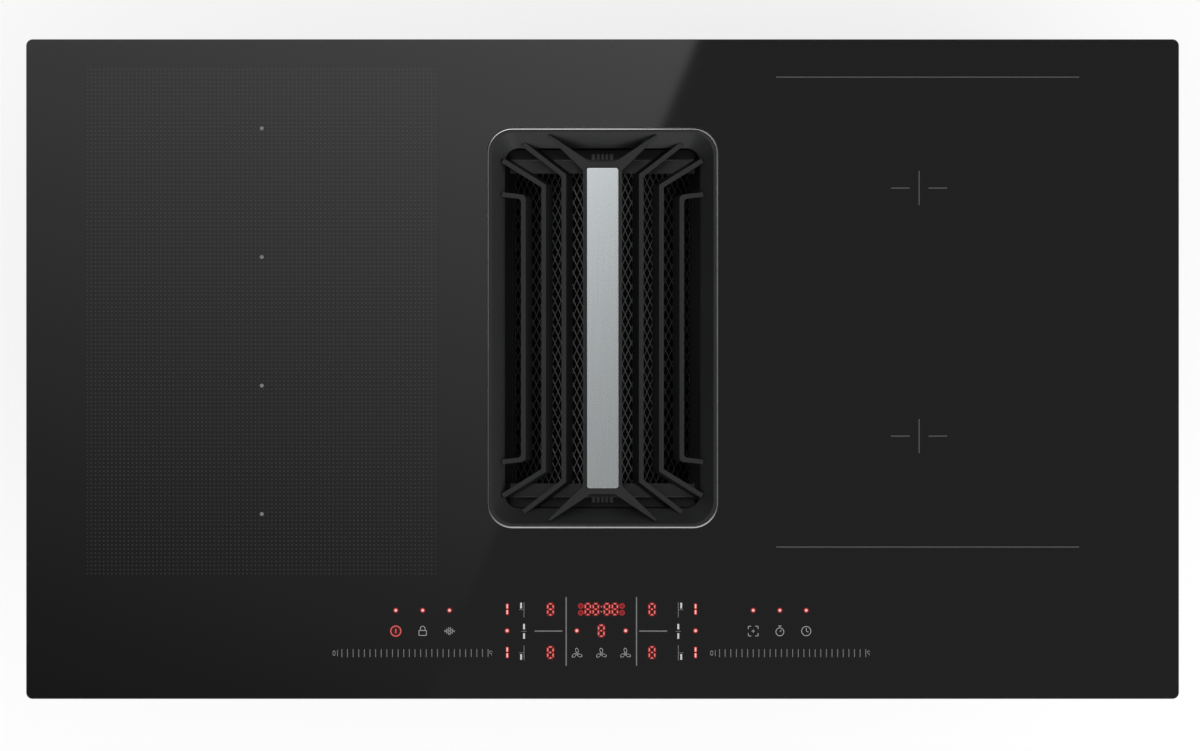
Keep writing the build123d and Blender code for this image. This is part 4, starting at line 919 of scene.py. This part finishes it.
# %% Ink, in four greys
def ink(name, tones):
    """Fired ceramic ink: matt, with the faint grain of the printing screen."""
    finish = start_finish(name, tones[0], 0.0, 0.45)
    grain = add(finish.tree, "ShaderNodeTexNoise",
                {"Vector": finish.place, "Scale": cells(0.4), "Detail": 2})
    return lay(finish, grain, tones, (0.40, 0.55))


ink_dim = ink("Ink_fired_dim", ("#464647", "#505051"))
ink_grey = ink("Ink_fired_grey", ("#6A6A6B", "#787879"))
ink_pale = ink("Ink_fired_pale", ("#989899", "#A8A8A9"))
ink_white = ink("Ink_fired_white", ("#BEBEBE", "#D0D0D0"))
print("four inks")

# %% Strokes and dots
ink_thickness = 0.04
ink_low = glass_top / MM
ink_middle = ink_low + ink_thickness / 2


def stroke(shape, start, end, width):
    """A straight printed line with square ends."""
    dx, dy = end[0] - start[0], end[1] - start[1]
    middle = ((start[0] + end[0]) / 2, (start[1] + end[1]) / 2, ink_middle)
    block(shape, middle, (hypot(dx, dy), width, ink_thickness), atan2(dy, dx))


def dot(shape, centre, radius):
    """A printed disc."""
    cone(shape, Matrix.Translation((*centre, ink_middle)), radius, radius, ink_thickness, 20)


print("ink lies from", round(ink_low, 2), "to", round(ink_low + ink_thickness, 2), "mm")

# %% Rings and arcs
def ring(shape, centre, radius, width, sweep=360, squeeze=1.0, lean=0):
    """A printed ring or part of one, spun from its cross-section, squeezed to an oval."""
    for vert in shape.verts:
        vert.tag = True
    place = (Matrix.Translation((radius, 0, ink_middle))
             @ Matrix.Diagonal((width, 1, ink_thickness, 1)) @ Matrix.Rotation(radians(90), 4, "X"))
    corners = bmesh.ops.create_grid(shape, x_segments=1, y_segments=1, size=0.5,
                                    matrix=place)["verts"]
    face = corners[0].link_faces[0]
    bmesh.ops.spin(shape, geom=[*corners, *face.edges, face], cent=(0, 0, 0), axis=(0, 0, 1),
                   angle=radians(sweep), steps=max(6, round(sweep / 15)),
                   use_merge=sweep == 360)
    out = (Matrix.Translation((*centre, 0)) @ Matrix.Rotation(radians(lean), 4, "Z")
           @ Matrix.Diagonal((1, squeeze, 1, 1)))
    bmesh.ops.transform(shape, matrix=out, verts=[v for v in shape.verts if not v.tag])


print("ring helper ready")

# %% [markdown]
# ## Zone marks
# On the right, two thin lines close the zone off and a cross marks the middle of each round
# coil. On the left, four small dots mark the middles of the four flat coils.

# %% Draw the zone marks
zone_line = 0.8
line_left, line_right = 135.4, 372.0
cross_x = 247.1
cross_half = 13.25
arm_near, arm_far = 7.4, 21.9
shape = bmesh.new()
for y in (227.9, -138.9):
    stroke(shape, (line_left, y), (line_right, y), zone_line)
for y in (141.3, -52.3):
    stroke(shape, (cross_x, y - cross_half), (cross_x, y + cross_half), zone_line)
    for side in (-1, 1):
        stroke(shape, (cross_x + side * arm_near, y), (cross_x + side * arm_far, y), zone_line)
made("Zone_lines", shape, "hob", "white_plastic", ink_dim)
shape = bmesh.new()
for y in (187.9, 87.5, -12.9, -113.1):
    dot(shape, (-266.0, y), 1.5)
made("Zone_dots", shape, "hob", "white_plastic", ink_grey)

# %% [markdown]
# ## Slider scales
# Each slider is a row of 27 short ticks, 4.39 mm apart, between a plain 0 and a plain 9. One
# lower tick stands close before the row. Digits this small are a few strokes each.

# %% Draw the scales
scale_row = -221.7
ticks, tick_pitch = 27, 4.39
tick_half, lead_half = 3.1, 2.4
digit_line = 0.45
shape = bmesh.new()
for first, zero, lead, nine in ((-203.5, -209.6, -206.9, -87.3), (91.3, 85.2, 88.0, 207.6)):
    for step in range(ticks):
        x = first + step * tick_pitch
        stroke(shape, (x, scale_row - tick_half), (x, scale_row + tick_half), 0.55)
    stroke(shape, (lead, scale_row - lead_half), (lead, scale_row + lead_half), 0.5)
    ring(shape, (zero, scale_row), 1.0, digit_line, squeeze=1.7)
    ring(shape, (nine, scale_row + 0.75), 1.0, digit_line)
    stroke(shape, (nine + 1.0, scale_row + 0.75), (nine + 0.5, scale_row - 1.8), digit_line)
made("Slider_scales", shape, "hob", "white_plastic", ink_grey)

# %% [markdown]
# ## Key symbols
# A key is marked by a plain pictogram: padlock, wiping pause, frame, stopwatch, clock and fan.
# They are built from the same strokes and rings, with lines 0.5 mm wide. Each is drawn about
# its own middle, whose x is given first.

# %% The padlock and the wiping pause
line = 0.5
key_row = -204.5
symbols = bmesh.new()
x, body_half, bow = -140.4, 2.9, 1.9
for level in (-3.4, 0.5):
    stroke(symbols, (x - body_half, key_row + level), (x + body_half, key_row + level), line)
for side in (-1, 1):
    for reach, low, high in ((body_half, -3.6, 0.7), (bow, 0.5, 1.9)):
        stroke(symbols, (x + side * reach, key_row + low), (x + side * reach, key_row + high),
               line)
ring(symbols, (x, key_row + 1.8), bow, line, sweep=180)
x, half_width, half_height = -119.5, 5.2, 3.6
for share in (0.22, 0.5, 0.78):
    for lean in (-1, 1):
        stroke(symbols, (x - half_width * (1 - share), key_row - lean * half_height * share),
               (x + half_width * share, key_row + lean * half_height * (1 - share)), 0.4)
print("two symbols drawn")

# %% The frame, the stopwatch and the clock
x, corner_reach, corner_arm, cross_arm = 117.6, 3.8, 2.2, 1.2
for across in (-1, 1):
    for along in (-1, 1):
        corner = (x + across * corner_reach, key_row + along * corner_reach)
        stroke(symbols, corner, (corner[0] - across * corner_arm, corner[1]), line)
        stroke(symbols, corner, (corner[0], corner[1] - along * corner_arm), line)
stroke(symbols, (x - cross_arm, key_row), (x + cross_arm, key_row), line)
stroke(symbols, (x, key_row - cross_arm), (x, key_row + cross_arm), line)
x, dial_y = 138.4, key_row - 0.6
ring(symbols, (x, dial_y), 3.1, line)
stroke(symbols, (x, dial_y), (x + 1.2, key_row + 0.9), line)
stroke(symbols, (x, key_row + 2.6), (x, key_row + 3.8), line)
stroke(symbols, (x - 1.2, key_row + 4.0), (x + 1.2, key_row + 4.0), line)
x = 159.0
ring(symbols, (x, key_row), 3.6, line)
stroke(symbols, (x, key_row), (x, key_row + 2.4), line)
stroke(symbols, (x, key_row), (x + 1.7, key_row - 0.8), line)
print("five symbols drawn")

# %% The three fans, each a hub and three oval blades
fan_row = -222.2
blade_reach, blade_radius = 2.6, 1.75
for x in (-20.0, -1.0, 17.8):
    ring(symbols, (x, fan_row), 0.75, 0.4)
    for turn in (90, 210, 330):
        middle = (x + blade_reach * cos(radians(turn)), fan_row + blade_reach * sin(radians(turn)))
        ring(symbols, middle, blade_radius, line, squeeze=0.62, lean=turn + 12)
made("Key_symbols", symbols, "hob", "white_plastic", ink_pale)

# %% [markdown]
# ## Lines between the fields, and the zone keys
# Wider grey lines part the timer from the zones. Beside the digits, small bars show which zone a
# digit stands for: a bold bar for the zone, thin lines for its neighbours.

# %% Draw the field lines
field_line = 0.9
shape = bmesh.new()
for x in (-28.4, 26.5):
    stroke(shape, (x, -178.0), (x, -231.5), field_line)
for start, end in ((-53.0, -31.4), (28.6, 50.5)):
    stroke(shape, (start, key_row), (end, key_row), field_line)
made("Field_lines", shape, "hob", "white_plastic", ink_grey)

# %% Draw the zone keys
panel_middle = -1.1
near_reach, far_reach = 60.2, 62.5
bold_line, thin_line, fine_line = 1.4, 0.45, 0.4
bold, thin = bmesh.new(), bmesh.new()
for side in (-1, 1):
    near = panel_middle + side * near_reach
    far = panel_middle + side * far_reach
    for y, sign in ((-187.8, 1), (-221.5, -1)):
        stroke(bold, (far, y + sign * 1.0), (far, y + sign * 5.4), bold_line)
        stroke(thin, (near, y - sign * 6.0), (near, y + sign * 5.8), thin_line)
        stroke(thin, (near, y), (far + side * 1.6, y), fine_line)
    for top, foot in ((-198.9, -203.1), (-206.2, -210.5)):
        stroke(bold, (near, top), (near, foot), bold_line)
    stroke(thin, (near - 2.0, -204.7), (near + 2.0, -204.7), fine_line)
made("Zone_keys_bold", bold, "hob", "white_plastic", ink_white)
made("Zone_keys_thin", thin, "hob", "white_plastic", ink_grey)

# %% [markdown]
# ## Lit digits
# The digits and lamps shine red through the dark glass from below, with a pink, nearly white
# core and a soft red rim. A light behind each would need clear glass and noise-free scattering.
# Instead each lit stroke is a thin tile whose light fades outward: its points carry a number,
# 1 in the core, about a half at the edge and 0 at the rim, which one ramp turns to colour.

# %% The glow
shine = start_finish("Display_light_through_glass", "#070708", 0.0, 0.05, 1.52)
strength = add(shine.tree, "ShaderNodeAttribute", attribute_name="glow").outputs["Fac"]
ramp = add(shine.tree, "ShaderNodeValToRGB", {"Fac": strength})
ramp.color_ramp.elements[0].color = (0, 0, 0, 1)
ramp.color_ramp.elements[1].color = linear("#FFC4BE")
for at, colour in ((0.30, "#4A0B0D"), (0.62, "#C02A2C"), (0.85, "#F08A86")):
    ramp.color_ramp.elements.new(at).color = linear(colour)
shine.tree.links.new(ramp.outputs["Color"], shine.shader.inputs["Emission Color"])
shine.shader.inputs["Emission Strength"].default_value = 1.0
flow = add(shine.tree, "ShaderNodeTexNoise",
           {"Vector": shine.place, "Scale": cells(140), "Detail": 3})
display_glow = lay(shine, flow, rough=(0.03, 0.06))
print("glow ramp has", len(ramp.color_ramp.elements), "colours")

# %% Lit strokes
lit_height = 0.02
edge_glow = 0.62


def lit_stroke(shape, layer, start, end, core=0.3, body=0.62, rim=1.45, peak=1.0):
    """A lit line: a tile of five by five faces, its middle as wide as the line."""
    dx, dy = end[0] - start[0], end[1] - start[1]
    half = hypot(dx, dy) / 2
    tile = bmesh.ops.create_grid(shape, x_segments=5, y_segments=5, size=5)["verts"]
    levels = {1: (core, peak), 3: (body, edge_glow * peak), 5: (rim, 0.0)}
    for vert in tile:
        across, value_across = levels[round(abs(vert.co.y))]
        along, value_along = levels[round(abs(vert.co.x))]
        vert.co.x = (half - body + along) * (1 if vert.co.x > 0 else -1)
        vert.co.y = across * (1 if vert.co.y > 0 else -1)
        vert[layer] = min(value_across, value_along)
    middle = ((start[0] + end[0]) / 2, (start[1] + end[1]) / 2, ink_low + lit_height)
    place = Matrix.Translation(middle) @ Matrix.Rotation(atan2(dy, dx), 4, "Z")
    bmesh.ops.transform(shape, matrix=place, verts=tile)


print("lit stroke ready")

# %% Lit discs and rings
def lit_disc(shape, layer, centre, radius, steps, sides):
    """A lit disc, inset step by step. A step gives how far, and the light there."""
    place = Matrix.Translation((*centre, ink_low + lit_height))
    disc = bmesh.ops.create_circle(shape, cap_ends=True, segments=sides, radius=radius,
                                   matrix=place)["verts"]
    face = disc[0].link_faces[0]
    for vert in disc:
        vert[layer] = 0.0
    for thickness, value in steps:
        bmesh.ops.inset_individual(shape, faces=[face], thickness=thickness)
        for vert in face.verts:
            vert[layer] = value


def lit_lamp(shape, layer, centre, core=0.75, body=1.35, rim=2.5, peak=1.0):
    """A small lamp, brightest inside."""
    lit_disc(shape, layer, centre, rim, ((rim - body, edge_glow * peak), (body - core, peak)), 24)


def lit_ring(shape, layer, centre, radius, core, rim, peak, fill):
    """A lit ring, with a faint light inside it."""
    lit_disc(shape, layer, centre, radius + rim,
             ((rim - core, peak), (2 * core, peak), (rim - core, fill)), 32)


def lit_digit(shape, layer, centre, width, peak, height=8.4, gap=0.55):
    """All seven segments lit, as on a display test."""
    x, y = centre
    w, h = width / 2, height / 2
    for level in (-h, 0, h):
        lit_stroke(shape, layer, (x - w + gap, y + level), (x + w - gap, y + level), peak=peak)
    for side in (-w, w):
        for low, high in ((-h, 0), (0, h)):
            lit_stroke(shape, layer, (x + side, y + low + gap), (x + side, y + high - gap),
                       peak=peak)


print("lit helpers ready")

# %% Light the display
digit_width, timer_width = 4.1, 3.9
shape = bmesh.new()
layer = shape.verts.layers.float.new("glow")
for x in (-161.4, -140.4, -119.5, 117.6, 138.4, 159.0):
    lit_lamp(shape, layer, (x, -188.3))
for x in (-20.1, 18.0, -74.5, 72.6):
    lit_lamp(shape, layer, (x, -204.2))
for x in (-74.4, 72.6):
    for y in (-187.4, -221.2):
        for low, high in ((-4.0, -0.5), (0.5, 4.0)):
            lit_stroke(shape, layer, (x, y + low), (x, y + high), 0.4, 0.75, 1.6)
for centre in ((-40.7, -187.5), (-40.7, -221.2), (38.6, -187.5), (38.6, -221.2), (-1.0, -204.2)):
    lit_digit(shape, layer, centre, digit_width, 0.84)
for x in (-11.5, -5.3, 3.4, 9.6):
    lit_digit(shape, layer, (x, -187.4), timer_width, 0.80)
for y in (-185.4, -189.3):
    lit_lamp(shape, layer, (-0.9, y), 0.3, 0.55, 1.1, 0.8)
made("Lit_displays", shape, "hob", "display_red", display_glow)

# %% The lit power key and the small lamps beside the timer, their strokes above their rings
power_key = (-161.4, -204.5)
timer_lamps = [(x, y) for x in (-17.0, 15.2) for y in (-184.9, -190.2)]
shape = bmesh.new()
layer = shape.verts.layers.float.new("glow")
lit_ring(shape, layer, power_key, 3.95, 0.15, 0.9, 0.76, 0.12)
for centre in timer_lamps:
    lit_ring(shape, layer, centre, 1.75, 0.2, 0.7, 0.58, 0.25)
bmesh.ops.translate(shape, vec=(0, 0, lit_height / 2), verts=shape.verts)
rings_end = len(shape.verts)
lit_stroke(shape, layer, (power_key[0], -206.3), (power_key[0], -202.7), 0.3, 0.5, 0.8, 0.72)
for x, y in timer_lamps:
    lit_stroke(shape, layer, (x - 0.9, y + 0.9), (x + 0.9, y - 0.9), 0.15, 0.3, 0.5, 0.55)
shape.verts.ensure_lookup_table()
bmesh.ops.translate(shape, vec=(0, 0, lit_height), verts=shape.verts[rings_end:])
made("Lit_small_marks", shape, "hob", "display_red", display_glow)

# %% Note the sizes and finish
low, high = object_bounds()
print("visual box in mm:", [round(v / MM, 1) for v in (*low, *high)])
